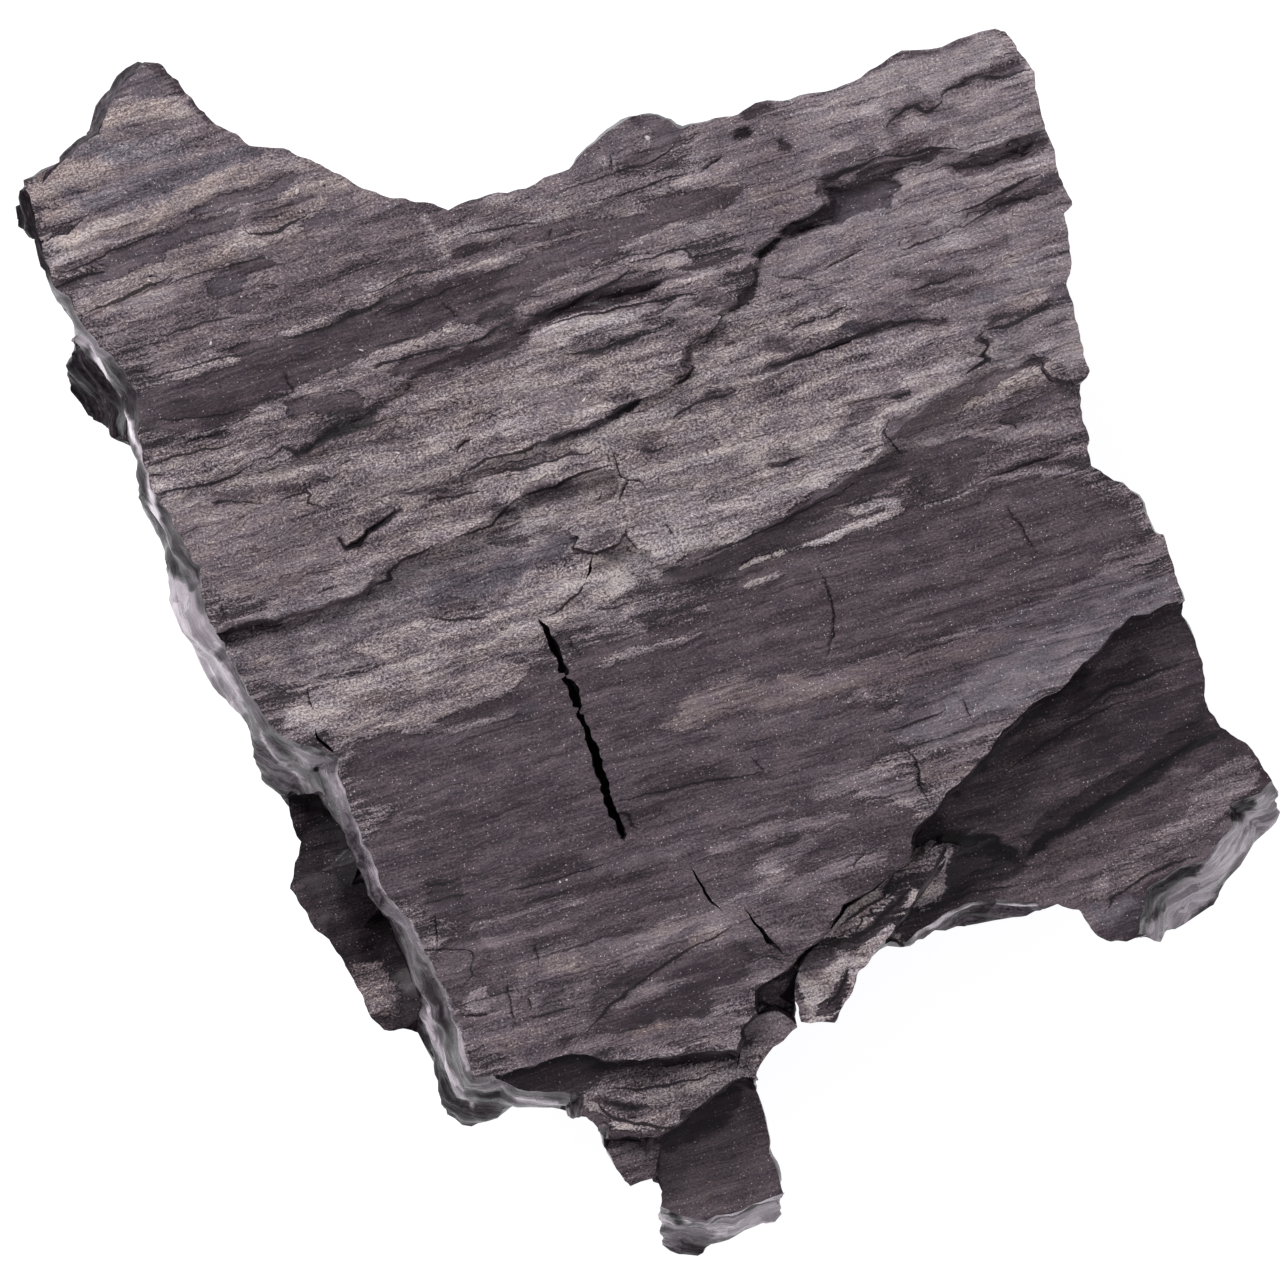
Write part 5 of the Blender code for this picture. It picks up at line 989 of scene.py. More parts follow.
# %% Broad changes in the dust
DUST = [
    # change of tone, half width, points from end to end
    (-0.13, 2.0, [(4.4, 25.2), (5.2, 23.0), (5.6, 20.8)]),
    (-0.06, 1.5, [(7.0, 24.2), (8.2, 22.0)]),
    (-0.07, 1.7, [(-17.0, 17.4), (-13.5, 19.0), (-8.5, 18.8)]),
    (-0.07, 1.6, [(-20.0, 11.2), (-16.0, 14.2)]),
    (-0.07, 1.2, [(-15.5, 10.0), (-12.0, 12.0), (-8.0, 13.2)]),
    (-0.07, 1.2, [(-3.5, 13.2), (0.5, 14.6)]),
    (-0.07, 1.2, [(3.2, 14.2), (6.5, 14.0)]),
    (-0.08, 1.5, [(7.5, 12.0), (11.5, 14.0), (15.8, 16.6)]),
    (-0.07, 1.2, [(11.0, 18.4), (12.4, 18.2)]),
    (-0.08, 1.3, [(18.0, 20.4), (20.6, 21.4)]),
    (-0.06, 1.0, [(11.2, 6.4), (13.5, 7.4), (17.0, 8.6)]),
    (-0.07, 1.4, [(12.0, -1.4), (17.0, -0.3), (21.0, 0.8), (24.6, 3.0)]),
    (-0.05, 1.8, [(-12.0, -2.4), (-8.0, -1.6)]),
    (-0.04, 1.2, [(-6.0, 1.4), (-3.0, 3.4)]),
    (-0.04, 2.4, [(-9.0, -12.0), (-5.5, -9.6)]),
    (-0.08, 0.8, [(-0.6, -20.0), (3.6, -19.2)]),
    (0.07, 1.6, [(-29.5, 21.5), (-27.0, 25.0), (-24.5, 25.4)]),
    (0.08, 1.6, [(-28.6, 19.2), (-26.5, 17.6), (-24.5, 18.4)]),
    (0.05, 1.4, [(-20.5, 22.6), (-17.5, 22.6)]),
    (0.09, 1.3, [(-23.5, 7.4), (-19.0, 7.6), (-14.5, 8.2), (-9.0, 8.4)]),
    (0.09, 1.2, [(-14.5, 3.2), (-10.0, 4.6), (-6.0, 6.0)]),
    (0.07, 1.4, [(-20.8, 1.2), (-16.5, 0.6), (-12.0, 2.0)]),
    (0.06, 1.2, [(-18.6, -1.6), (-16.0, -1.0)]),
    (0.14, 0.8, [(-4.2, 15.3), (-2.0, 15.7)]),
    (0.09, 1.0, [(-5.0, 9.6), (-3.2, 10.6)]),
    (0.08, 1.0, [(-1.0, 3.2), (3.0, 3.6)]),
    (0.10, 1.2, [(5.2, 5.2), (8.0, 6.2), (10.6, 8.4)]),
    (0.12, 1.2, [(12.5, 11.0), (15.0, 12.4), (17.0, 13.6)]),
    (0.07, 1.2, [(-2.0, 24.4), (1.4, 24.6)]),
    (0.06, 1.0, [(1.0, 18.6), (2.8, 19.8)]),
    (0.07, 1.3, [(11.8, 26.8), (14.0, 27.2)]),
    (0.07, 1.2, [(17.0, 29.2), (18.6, 28.6)]),
    (0.06, 1.2, [(16.5, 22.8), (19.0, 24.4)]),
    (0.06, 1.0, [(12.4, 24.4), (14.4, 24.6)]),
    (0.06, 1.3, [(21.0, 13.2), (22.0, 13.4)]),
    (0.07, 1.5, [(2.8, -11.6), (5.5, -11.6)]),
    (0.09, 1.3, [(0.6, -15.8), (3.0, -14.4)]),
    (0.07, 1.3, [(-10.5, -16.6), (-7.4, -16.2)]),
    (0.04, 1.5, [(10.0, -9.8), (12.6, -9.0)]),
    (-0.07, 1.2, [(14.6, 26.4), (16.4, 26.7)]),
    (-0.06, 1.0, [(12.8, 22.8), (15.6, 23.0)]),
    (-0.08, 0.9, [(17.8, 15.2), (19.8, 15.4)]),
    (-0.09, 1.0, [(-16.4, 9.3), (-13.4, 10.1)]),
    (-0.08, 1.0, [(-15.4, 3.7), (-13.0, 4.4)]),
    (-0.06, 0.9, [(-20.0, 6.1), (-18.0, 6.6)]),
    (-0.08, 0.8, [(-13.2, 0.4), (-10.8, 0.8)]),
    (-0.05, 0.7, [(-9.0, -2.0), (-7.0, -1.6)]),
    (-0.05, 0.8, [(-5.0, 5.8), (-3.0, 6.4)]),
    (0.07, 0.9, [(-12.4, 14.0), (-9.8, 14.6)]),
    (0.06, 0.8, [(-8.2, 15.8), (-6.6, 16.4)]),
    (0.08, 1.0, [(-27.4, 20.2), (-25.4, 20.6)]),
    (0.09, 1.0, [(-27.2, 17.2), (-25.0, 17.8)]),
    (0.08, 0.8, [(-5.0, 8.2), (-3.2, 8.6)]),
    (0.07, 0.9, [(-8.8, 4.6), (-6.4, 5.4)]),
    (-0.04, 0.9, [(-11.4, 5.4), (-9.8, 5.8)]),
    (0.03, 2.0, [(-8.0, -15.6), (-2.0, -14.4), (5.0, -12.8)]),
    (0.06, 0.9, [(-0.8, 3.0), (1.0, 3.0)]),
    (0.06, 0.8, [(-2.8, 4.6), (-1.2, 4.8)]),
    (0.06, 1.0, [(1.6, 19.0), (3.6, 19.4)]),
    (0.05, 1.2, [(0.8, 24.0), (4.6, 22.4)]),
    (0.08, 0.8, [(6.0, 8.8), (8.0, 9.2)]),
    (0.07, 0.9, [(14.4, 18.2), (14.8, 20.2)]),
    (0.06, 0.9, [(13.6, 11.4), (16.4, 12.2)]),
    (0.08, 0.8, [(-3.4, -18.9), (-1.8, -18.4)]),
    # on the steps and the flap
    (-0.10, 0.7, [(13.8, -13.0), (14.6, -12.0)]),
    (0.05, 1.2, [(20.0, -3.4), (23.5, -1.6), (26.4, 0.2)]),
    (0.15, 1.0, [(6.0, -18.8), (6.6, -17.6)]),
    (0.14, 0.8, [(-0.4, -21.9), (2.0, -21.6)]),
    (0.18, 1.0, [(-2.4, -24.4), (-0.6, -25.4)]),
    (0.08, 1.0, [(22.8, -14.4), (24.6, -12.4)]),
]
print("changes in the dust:", len(DUST))

# %% [markdown]
# ## Noise along the grain
#
# Strokes with clean edges would look like paint. Split wood frays along its grain, so the
# edge of every stroke wanders. Smooth noise does that when its coordinates are divided by a
# long size along the grain and a short one across. The grain itself bends a little too.

# %% Noise along the grain
BEND = [
    # height, size along, across and upwards in mm, layer
    (0.24, (10.0, 3.5, 1.0), 0.37),
]
FRAY = [(0.45, (2.6, 0.45, 3.0), 5.2), (0.36, (0.9, 0.22, 3.0), 8.1)]


def wander(points, noises):
    """A sum of smooth noises at points, each about -0.7 to 0.7 times its height. A noise has
    features of a size in millimetres, and its layer keeps it unlike the others."""
    total = np.zeros(len(points))
    for height, size, layer in noises:
        spots = (points / np.array(size) + layer).tolist()
        total += height * np.array([noise.noise(spot) for spot in spots])
    return total


def smooth_step(value, low, high):
    """0 below low, 1 above high, and a smooth rise between them."""
    share = np.clip((value - low) / (high - low), 0.0, 1.0)
    return share * share * (3 - 2 * share)


place = corners - np.array((*MARK, 0.0))
x, y, z = place.T
along, across = along_across(x, y)
across = across + wander(np.stack((along, across, 0 * z), axis=1), BEND)
grained = np.stack((along, across, z), axis=1)
fray = wander(grained, FRAY)
print("edges wander by up to:", round(float(np.abs(fray).max()), 2), "of their softness")

# %% [markdown]
# A steep face counts as broken stone, but not every steep face is fresh. The soft fold on the
# lower step and the banks of the seam beside the flap are weathered, and so are the lips
# inside the top plate.

# %% Where steep faces are weathered
SOFT_FOLD = [(30.6, -4.3), (28.9, -4.4), (27.6, -5.4), (25.6, -6.9), (22.8, -8.4),
             (21.0, -10.0), (18.8, -11.4), (18.3, -10.6), (17.5, -10.0), (15.8, -10.4),
             (14.5, -11.6)]
FOLD_REACH, FOLD_HEIGHTS = 1.3, (12.6, 15.4)
SEAMS = [
    # how far each bank moves in, reach, direction of the bank on the right, points
    (0.26, 1.6, (0.6, -0.8), [(14.2, -10.3), (13.3, -11.1), (11.8, -12.3), (9.9, -13.6),
                              (8.9, -15.0), (7.6, -16.1)]),
    (0.06, 0.5, (-0.3, 0.95), [(5.6, 12.9), (7.4, 13.9), (9.3, 14.6), (10.9, 15.2),
                               (12.6, 15.8), (14.2, 16.0)]),
]
BANK_REACH, BANK_FOOT = 0.8, 14.8
WEST_EDGE = [(-30.2, 19.7), (-29.6, 17.7), (-28.3, 15.9), (-26.2, 13.5), (-25.4, 12.2),
             (-25.2, 8.9), (-23.8, 6.2), (-22.4, 3.7), (-21.5, 0.3)]
WEST_REACH = 0.9
LIP_FOOT, LIP_INLAND = 16.95, 1.1
SIDE_HEIGHTS = (9.0, 13.0)
print("seams:", len(SEAMS), "and points on the west edge:", len(WEST_EDGE))

# %% [markdown]
# Such faces are given the kind of a plate. A lip is inside the top plate where, from above,
# no low part of the sides is near it.

# %% Steep faces that are weathered
def within(values, limits):
    """Which values lie between two limits."""
    return (values > limits[0]) & (values < limits[1])


def seen_from_above(x, y):
    """A search tree that finds the nearest of some places, whatever its height."""
    tree = KDTree(len(x))
    for number, spot in enumerate(zip(x, y)):
        tree.insert((*spot, 0.0), number)
    tree.balance()
    return tree


mx, my, mz = place[faces].mean(axis=1).T
beside_fold = from_line(mx, my, SOFT_FOLD)[0] < FOLD_REACH
kinds[beside_fold & within(mz, FOLD_HEIGHTS) & (kinds == OPEN)] = PLATE
*_, flap_seam = SEAMS[0]
banks = from_line(mx, my, flap_seam)[0] < BANK_REACH
kinds[banks & (mz > BANK_FOOT) & (kinds != BASE)] = PLATE
on_lip = (mz > LIP_FOOT) & ((kinds == OPEN) | (kinds == STEEP))
beside_west = from_line(mx, my, WEST_EDGE)[0] < WEST_REACH
low_side = within(mz, SIDE_HEIGHTS) & ((kinds == OPEN) | (kinds == STEEP))
sides_below = seen_from_above(mx[low_side], my[low_side])
for face in np.flatnonzero(on_lip & ~beside_west):
    if sides_below.find((mx[face], my[face], 0.0))[2] > LIP_INLAND:
        kinds[face] = PLATE
print("weathered faces:", int((kinds == PLATE).sum()))

# %% [markdown]
# ## Painting the film
#
# Each stroke is laid on with a soft edge that frays along the grain, and gets narrower at its
# ends. Smooth dark strokes bare the stone: they take the crust away but leave its tone, so
# that a film that is only half gone still shows it. The result is kept as numbers at the
# points of the skin. The shader reads them later, and the relief uses them now, because rough
# crust also stands higher than smooth bared stone.

# %% Laying strokes
TAPER, BLUNT = 6.0, 0.45
RAGGED_MOST, RAGGED_WIDTH = 1.3, 0.75
SOFT_EDGE = 0.22
TONE_EDGE, CRUST_EDGE, SMEAR_EDGE = 0.10, 0.22, 0.6
DARK, SMOOTH, THIN = 0.40, 0.36, 0.17
BARED_CRUST, FULL_CRUST = 0.06, 0.8
TONE, ROUGH, TINGE, CRUST, BARE = range(5)


def cover_of(half_width, line, x, y, ragged, soft):
    """How far a stroke covers points: 1 inside, 0 outside, with a soft ragged edge."""
    away, share, _ = from_line(x, y, line)
    taper = np.clip(TAPER * share * (1.0 - share) + BLUNT, 0.0, 1.0)
    edge = away / (half_width * taper) + ragged * min(RAGGED_MOST, RAGGED_WIDTH / half_width)
    soft = max(SOFT_EDGE, soft / half_width)
    return 1.0 - smooth_step(edge, 1.0 - soft, 1.0 + soft)


def lay(film, strokes, chosen):
    """Lays strokes over a film at chosen points. Its columns are the tone of the crust, how
    rough it is, its tinge, how much stone it covers and the tone of the bare stone."""
    spots, part = (x[chosen], y[chosen], fray[chosen]), film[chosen]
    for tone, rough, tinge, half_width, line in strokes:
        bared = tone <= DARK and rough <= SMOOTH and half_width > THIN
        smeared = rough <= SMOOTH and not bared
        cover = cover_of(half_width, line, *spots, TONE_EDGE)
        wide = cover_of(half_width, line, *spots, SMEAR_EDGE if smeared else CRUST_EDGE)
        crust = BARED_CRUST if bared else FULL_CRUST
        for column, change, value in ((BARE if bared else TONE, cover, tone), (ROUGH, cover, rough),
                                      (TINGE, cover, tinge), (CRUST, wide, crust)):
            part[:, column] += change * (value - part[:, column])
    film[chosen] = part


# %% [markdown]
# All points start with a thin film, and the points of the top plates with a thicker one. Then
# the tables are laid on, each on its own part of the slab, and the broad changes in the dust
# go over everything.

# %% Painting the plates
STEP_FACES = 9.6
TONGUE_FACES, TONGUE_BACK = 13.2, -20.0
LOWER_FILM = (0.50, 0.2, 0.0, 0.1, 0.22)
TOP_FILM = (0.52, 0.5, 0.0, 0.5, 0.27)
DUST_FRAY, DUST_EDGE = 0.5, (0.4, 1.8)

faced_up = np.zeros(len(corners), dtype=bool)
faced_up[faces[kinds == PLATE]] = True
top = faced_up & (z > TOP_FACES)
steps = faced_up & (z <= TOP_FACES) & (z > STEP_FACES)
tongue = steps & (z < TONGUE_FACES) & (y < TONGUE_BACK)
ledges = faced_up & (z <= STEP_FACES)

film = np.tile(LOWER_FILM, (len(corners), 1))
film[top] = TOP_FILM
for strokes, chosen in ((AREAS, top), (DARK_BANDS, top), (PALE_CRUST, top), (STEPS, steps),
                        (TONGUE, tongue), (LEDGES, ledges)):
    lay(film, strokes, chosen)
for change, half_width, line in DUST:
    edge = from_line(x, y, line)[0] / half_width + DUST_FRAY * fray
    near = 1.0 - smooth_step(edge, *DUST_EDGE)
    film[:, (TONE, BARE)] += (change * near)[:, None]
tone, rough, tinge, crust, bare = film.T
print("crust tone on top, mean:", round(float(tone[top].mean()), 3),
      "bare stone:", round(float(bare[top].mean()), 3))

# %% [markdown]
# The sides get a tone and a gloss in the same way; the tone is frost and painted reflection.
# Near the foot an old dull break is darker than the fresh upper part. On the west side the
# pale strokes of painted reflection are broken into patches, so that they don't run down the
# side as stripes.

# %% Painting the sides
UPPER_PART, UPPER_NOISE = (8.2, 11.8), [(2.5, (6.0, 6.0, 1.0), 21.5)]
FOOT_FROST_AND_REFLECTION, MORE_FROST_AND_REFLECTION = 0.12, 0.18
FOOT_GLOSS, MORE_GLOSS = 0.1, 0.5
SIDE_FRAY, SIDE_EDGE = 0.6, 0.06
WEST_END, PATCHES, PATCH_EDGE = -15.0, [(1.0, (3.0, 3.0, 4.5), 15.8)], (-0.42, -0.12)
LEDGE_CORNER, LEDGE_TOP = (-8.5, -6.0), (8.4, 9.6)

on_side = np.zeros(len(corners), dtype=bool)
on_side[faces[(kinds == OPEN) | (kinds == STEEP)]] = True
upper_share = smooth_step(z + wander(place, UPPER_NOISE), *UPPER_PART)
# the tone of the sides: frost of the break and painted reflection of the table, paler higher up
frost_and_reflection, gloss = FOOT_FROST_AND_REFLECTION + MORE_FROST_AND_REFLECTION * upper_share, FOOT_GLOSS + MORE_GLOSS * upper_share
sx, sy, sz = place[on_side].T
patchy = np.where(sx < WEST_END, smooth_step(wander(place[on_side], PATCHES), *PATCH_EDGE), 1.0)
over_ledge = (sx < LEDGE_CORNER[0]) & (sy < LEDGE_CORNER[1])
patchy *= np.where(over_ledge, smooth_step(sz, *LEDGE_TOP), 1.0)
for side_tone, side_gloss, half_width, line in SIDES:
    cover = patchy * cover_of(half_width, line, sx, sy, SIDE_FRAY * fray[on_side], SIDE_EDGE)
    frost_and_reflection[on_side] += cover * (side_tone - frost_and_reflection[on_side])
    gloss[on_side] += cover * (side_gloss - gloss[on_side])
print("frost on the sides, mean:", round(float(frost_and_reflection[on_side].mean()), 3))

# %% [markdown]
# ## Relief
#
# The top is a stack of leaves of wood. A sum of long, thin waves is cut into terraces, so that
# the skin steps down from leaf to leaf with edges that run with the grain. Fine ridges of the
# fibres come on top, stronger where the film is rough. A bump map alone would be easier, but
# it has no edge in the outline and casts no shadow.

# %% Leaves, fibres and grit
LEAF_BEND = [(0.8, (9.0, 4.0, 1.0), 1.7), (0.25, (3.0, 1.2, 1.0), 3.1)]
LEAF_WAVES = [(0.5, (14.0, 2.6, 1.0), 2.3), (0.3, (6.0, 1.1, 1.0), 4.9),
              (0.15, (2.5, 0.5, 1.0), 6.4)]
FIBRES, FIBRES_SMOOTH = [(0.05, (3.0, 0.5, 1.0), 7.7)], 0.4
GRIT = [(0.06, (0.7, 0.45, 1.0), 9.3)]
LEAF, LEAF_STEP, LEAF_SMOOTH = 0.07, 0.13, 0.35
RISER = 0.3
CRUST_RISE, CRUST_LEVEL, CRUST_ROUGH = 0.13, 0.45, (0.2, 0.8)
RISE_LIMITS = (-0.45, 0.35)

leafy = grained * (1, 1, 0)
leafy[:, 1] += wander(leafy, LEAF_BEND)
leaf = wander(leafy, LEAF_WAVES) / LEAF_STEP
terraces = np.floor(leaf) + smooth_step(leaf - np.floor(leaf), 0.0, RISER)
rise = (LEAF * terraces * (LEAF_SMOOTH + (1.0 - LEAF_SMOOTH) * rough)
        + wander(leafy, FIBRES) * (FIBRES_SMOOTH + rough)
        + wander(leafy, GRIT) * rough
        + CRUST_RISE * (crust - CRUST_LEVEL) * smooth_step(rough, *CRUST_ROUGH))
rise = np.clip(np.where(faced_up, rise, 0.0), *RISE_LIMITS)
print("leaves and fibres, mm:", round(float(rise.min()), 2), "to", round(float(rise.max()), 2))

# %% [markdown]
# The fold on the lower step is soft, and so is the west end of the upper lip. The points
# there take the mean height of their neighbours, again and again, as the Smooth modifier does,
# while all other points stay where they are.

# %% Soft folds
FAINT_LIPS = [
    [(-25.4, 8.4), (-23.0, 8.1), (-21.0, 8.0), (-19.6, 8.5), (-17.0, 8.2), (-14.5, 7.7),
     (-12.0, 7.4), (-10.6, 7.7)],
    [(16.4, 13.5), (17.1, 13.9), (17.2, 14.4), (16.8, 15.2), (17.9, 14.8), (19.4, 14.5),
     (20.2, 13.3), (21.6, 12.9)],
]
LIP_REACH = 0.8
FOLD_PASSES = 60

loose = steps & (from_line(x, y, SOFT_FOLD)[0] < FOLD_REACH)
for line in FAINT_LIPS:
    loose |= top & (from_line(x, y, line)[0] < LIP_REACH)
first, second = edges_of(faces)[0].T
neighbours = np.bincount(first, minlength=len(z)) + np.bincount(second, minlength=len(z))
height = z.copy()
for turn in range(FOLD_PASSES):
    total = (np.bincount(first, height[second], len(z))
             + np.bincount(second, height[first], len(z)))
    height[loose] = (total / neighbours)[loose]
print("softened points:", int(loose.sum()))

# %% [markdown]
# Points inside the plates also slide along the grain, each lane of fibres by its own amount.
# That turns a smooth lip across the grain into the stepped, splintered edge of torn wood. The
# slide fades out towards the rim and beside cracks, which have to keep their lines.

# %% Slide along the grain
SLIDES = [(0.55, (7.0, 0.55, 1.0), 11.2), (0.22, (4.0, 0.3, 1.0), 12.9)]
RIM_HEIGHTS, RIM_EVERY, PLATE_FOOT = (9.0, 15.3), 5, 12.0
INLAND = (0.3, 1.8)
OPEN_CRACKS = [
    LONG_SPLIT, [(2.0, -10.8), (2.8, -12.4), (3.9, -13.7)],
    [(4.9, -13.3), (5.4, -14.2), (6.8, -15.6)], [(-16.7, -4.3), (-15.9, -5.4)],
    [(-2.6, 4.3), (-3.0, 2.9)],
]
CRACK_KEEP, CRACK_FADE = 0.1, (0.15, 1.1)

rim = np.flatnonzero(~faced_up & within(z, RIM_HEIGHTS))[::RIM_EVERY]
rim_tree = seen_from_above(x[rim], y[rim])
from_rim = np.array([rim_tree.find((px, py, 0.0))[2] if pz > PLATE_FOOT else 0.0
                     for px, py, pz in place.tolist()])
near_crack = np.min([from_line(x, y, line)[0]
                     for line in OPEN_CRACKS + [line for *_, line in HAIRLINES]], axis=0)
free = CRACK_KEEP + (1.0 - CRACK_KEEP) * smooth_step(near_crack, *CRACK_FADE)
slide = smooth_step(from_rim, *INLAND) * free * wander(leafy, SLIDES)
print("slide along the grain by up to, mm:", round(float(np.abs(slide).max()), 2))

# %% [markdown]
# Each hairline is pressed in as a V. The distance from it, with a sign for the side, goes to
# the shader, which can then draw the crack finer than the skin. Lips only leave the distance.

# %% Press in the hairlines
FAR_FROM_CRACK = 1.0
CRACK_TAPER = 5.0
CRACK_FOOT, STEP_LIP_FOOT = TOP_FACES - 0.6, 12.5
LIP_WIDTH = 1.5
V_BOTTOM, V_MARGIN = 1.5, 0.06

crack = np.full(len(corners), FAR_FROM_CRACK)
crack_width = np.zeros(len(corners))
lines = ([(CRACK_FOOT, *hairline) for hairline in HAIRLINES]
         + [(CRACK_FOOT, LIP_WIDTH * width, 0.0, line) for width, line in LIPS]
         + [(STEP_LIP_FOOT, LIP_WIDTH * width, 0.0, line) for width, line in STEP_LIPS])
for lowest, half_width, depth, line in lines:
    above = np.flatnonzero(z > lowest)
    away, share, side = from_line(x[above], y[above], line)
    taper = np.clip(CRACK_TAPER * share * (1.0 - share), 0.0, 1.0)
    side[(share <= 0.0) | (share >= 1.0)] = 1.0
    closer = away < np.abs(crack[above])
    crack[above[closer]] = (away * side)[closer]
    crack_width[above[closer]] = (half_width * taper)[closer]
    rise[above] -= depth * taper * np.clip(V_BOTTOM - away / (half_width + V_MARGIN), 0.0, 1.0)
print("points beside a crack or a lip:", int((np.abs(crack) < FAR_FROM_CRACK).sum()))

# %% [markdown]
# The mineral grains stand up a little, as rounded bumps. The distance from a grain is kept in
# its own radii, so that one edge suits them all.

# %% Raise the grains
FAR_FROM_GRAIN = 3.0
GRAIN_RISE, GRAIN_EDGE = 0.06, (0.3, 1.2)

from_grain = np.full(len(corners), FAR_FROM_GRAIN)
for gx, gy, radius in GRAINS:
    from_grain = np.minimum(from_grain, np.hypot(x - gx, y - gy) / radius)
rise += np.where(faced_up, GRAIN_RISE * (1.0 - smooth_step(from_grain, *GRAIN_EDGE)), 0.0)
print("points on grains:", int((from_grain < 1.0).sum()))

# %% [markdown]
# The broken sides are pushed in and out along their own slope. The pattern is long sideways
# and short upwards: splinters and layers that turn the light from line to line. Small changes
# of slope matter here, because the sheen of a glossy face depends on how flat it is seen.
# Everything also shifts a little sideways, by the same amount from top to bottom.

# %% Relief of the sides and the base
BREAK = [(0.34, (4.5, 4.5, 1.6), 2.9), (0.16, (2.4, 2.4, 0.6), 4.4),
         (0.12, (1.3, 1.3, 1.3), 6.6)]
UNDERSIDE = [(0.22, (3.0, 1.6, 3.0), 3.3), (0.11, (1.2, 0.8, 1.2), 5.8)]
RAGGED = [[(0.13, 0.75, 1.9), (0.05, 0.32, 6.9)], [(0.13, 0.75, 7.4), (0.05, 0.32, 12.4)]]
LIP_SHARE, FOOT_FADE = 0.25, (0.15, 1.2)


def point_normals(corners, faces):
    """Directions away from the faces at their points, and nothing at all other points."""
    crosses = face_crosses(corners, faces)
    total = np.zeros_like(corners)
    for i in range(3):
        np.add.at(total, faces[:, i], crosses)
    return unit(total)


on_base = np.zeros(len(corners), dtype=bool)
on_base[faces[kinds == BASE]] = True
push = np.select([on_side, on_base], [wander(place, BREAK), wander(place, UNDERSIDE)], 0.0)
push *= np.where(faced_up, LIP_SHARE, 1.0) * smooth_step(z, *FOOT_FADE)
shaped = corners + point_normals(corners, faces[kinds != PLATE]) * push[:, None]
shift = np.stack([wander(place * (1, 1, 0), noises) for noises in RAGGED], axis=1)
print("sides pushed by up to, mm:", round(float(np.abs(push).max()), 2))

# %% [markdown]
# The banks of the long split are torn, so each is pulled in and out by its own noise, and a
# few splinters still bridge it. The two seams are open in the solid only as wide as a solid
# needs: their banks move together.

# %% Banks of the long split and of the seams
BANK_HEIGHT = 15.0
SPLIT_REACH = 0.8
SPLIT_ACROSS = np.array((0.95, 0.31))
SPLIT_NOISE = [(0.10, 0.42, 13.1), (0.06, 0.19, 17.4)]
BANKS_APART = 3.0
BRIDGES = [
    # place along y, half length
    (-1.75, 0.12), (-3.5, 0.11),
]
BRIDGE_EDGE, BRIDGED, NEARLY_SHUT = 0.4, 0.02, 0.97
SEAM_FLAT, SEAM_FADE = 0.4, (13.5, 15.0)

away, _, side = from_line(x, y, LONG_SPLIT)
pull = wander(np.stack((BANKS_APART * side, y, 0 * z), axis=1), SPLIT_NOISE)
for middle, half_length in BRIDGES:
    closed = 1.0 - smooth_step(np.abs(y - middle), BRIDGE_EDGE * half_length, half_length)
    pull = np.where(closed > BRIDGED, pull + closed * (away * NEARLY_SHUT - pull), pull)
pull *= 1.0 - smooth_step(away, 0.5 * SPLIT_REACH, SPLIT_REACH)
bank = (z > BANK_HEIGHT) & (away < SPLIT_REACH)
shaped[:, :2] += np.where(bank, side * pull, 0.0)[:, None] * SPLIT_ACROSS
for move, reach, heading, line in SEAMS:
    away, _, side = from_line(x, y, line)
    inwards = move * side * (1.0 - smooth_step(away, SEAM_FLAT * reach, reach))
    shaped[:, :2] += (inwards * smooth_step(z, *SEAM_FADE))[:, None] * heading
print("points on the banks of the split:", int(bank.sum()))

# %% [markdown]
# All of the relief comes together here. Nothing may go below the table that the slab lies on,
# and what was flat on it stays flat.

# %% Put the relief together
FLOOR = 1e-4

shaped[:, 2] += rise + height - z
shaped[:, :2] += shift + slide[:, None] * (math.cos(GRAIN_ANGLE), math.sin(GRAIN_ANGLE))
shaped[:, 2] = np.maximum(shaped[:, 2], 0.0)
shaped[corners[:, 2] < FLOOR, 2] = 0.0
print("moved by up to, mm:", np.abs(shaped - corners).max(axis=0).round(2))

# %% [markdown]
# ## The object
#
# The skin becomes one object. Faces on the plates take the dusty material and all others the
# fresh break. The film, the cracks and the grain directions go along as attributes, which a
# shader reads without any image.

# %% Make the object
SHARP_ANGLE = 42

skin = bpy.data.meshes.new("jet skin")
skin.from_pydata((shaped * MM).tolist(), [], faces.tolist())
skin.polygons.foreach_set("material_index", (kinds != PLATE).astype(np.int32))
skin.polygons.foreach_set("use_smooth", np.ones(len(faces), dtype=bool))
skin.set_sharp_from_angle(angle=math.radians(SHARP_ANGLE))
for_shaders = {"tone": tone, "rough": rough, "tinge": tinge, "crust": crust, "bare": bare,
               "crack": crack, "crack width": crack_width, "frost_and_reflection": frost_and_reflection, "gloss": gloss,
               "grains": from_grain}
for name, values in for_shaders.items():
    skin.attributes.new(name, "FLOAT", "POINT").data.foreach_set("value", values.astype(np.float32))
skin.attributes.new("grain", "FLOAT_VECTOR", "POINT").data.foreach_set(
    "vector", grained.astype(np.float32).ravel())

stone = bpy.data.objects.new("jet_stone", skin)
scene.collection.objects.link(stone)
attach(stone, "root")
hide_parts("jet")
print("attributes for the shaders:", ", ".join(for_shaders), "and grain")

# %% [markdown]
# ## Dusty wood-grained face
#
# The plates show the wood that the jet once was, under a dull film of dust and weathered
# crust. The film is matt. Where it is thin, smooth dark stone shows with a little sheen. An
# image of wood could do this too, but noise that is stretched along the grain never repeats
# and stays sharp close up. Every pattern gets its real size in millimetres: along the grain,
# across it and upwards.

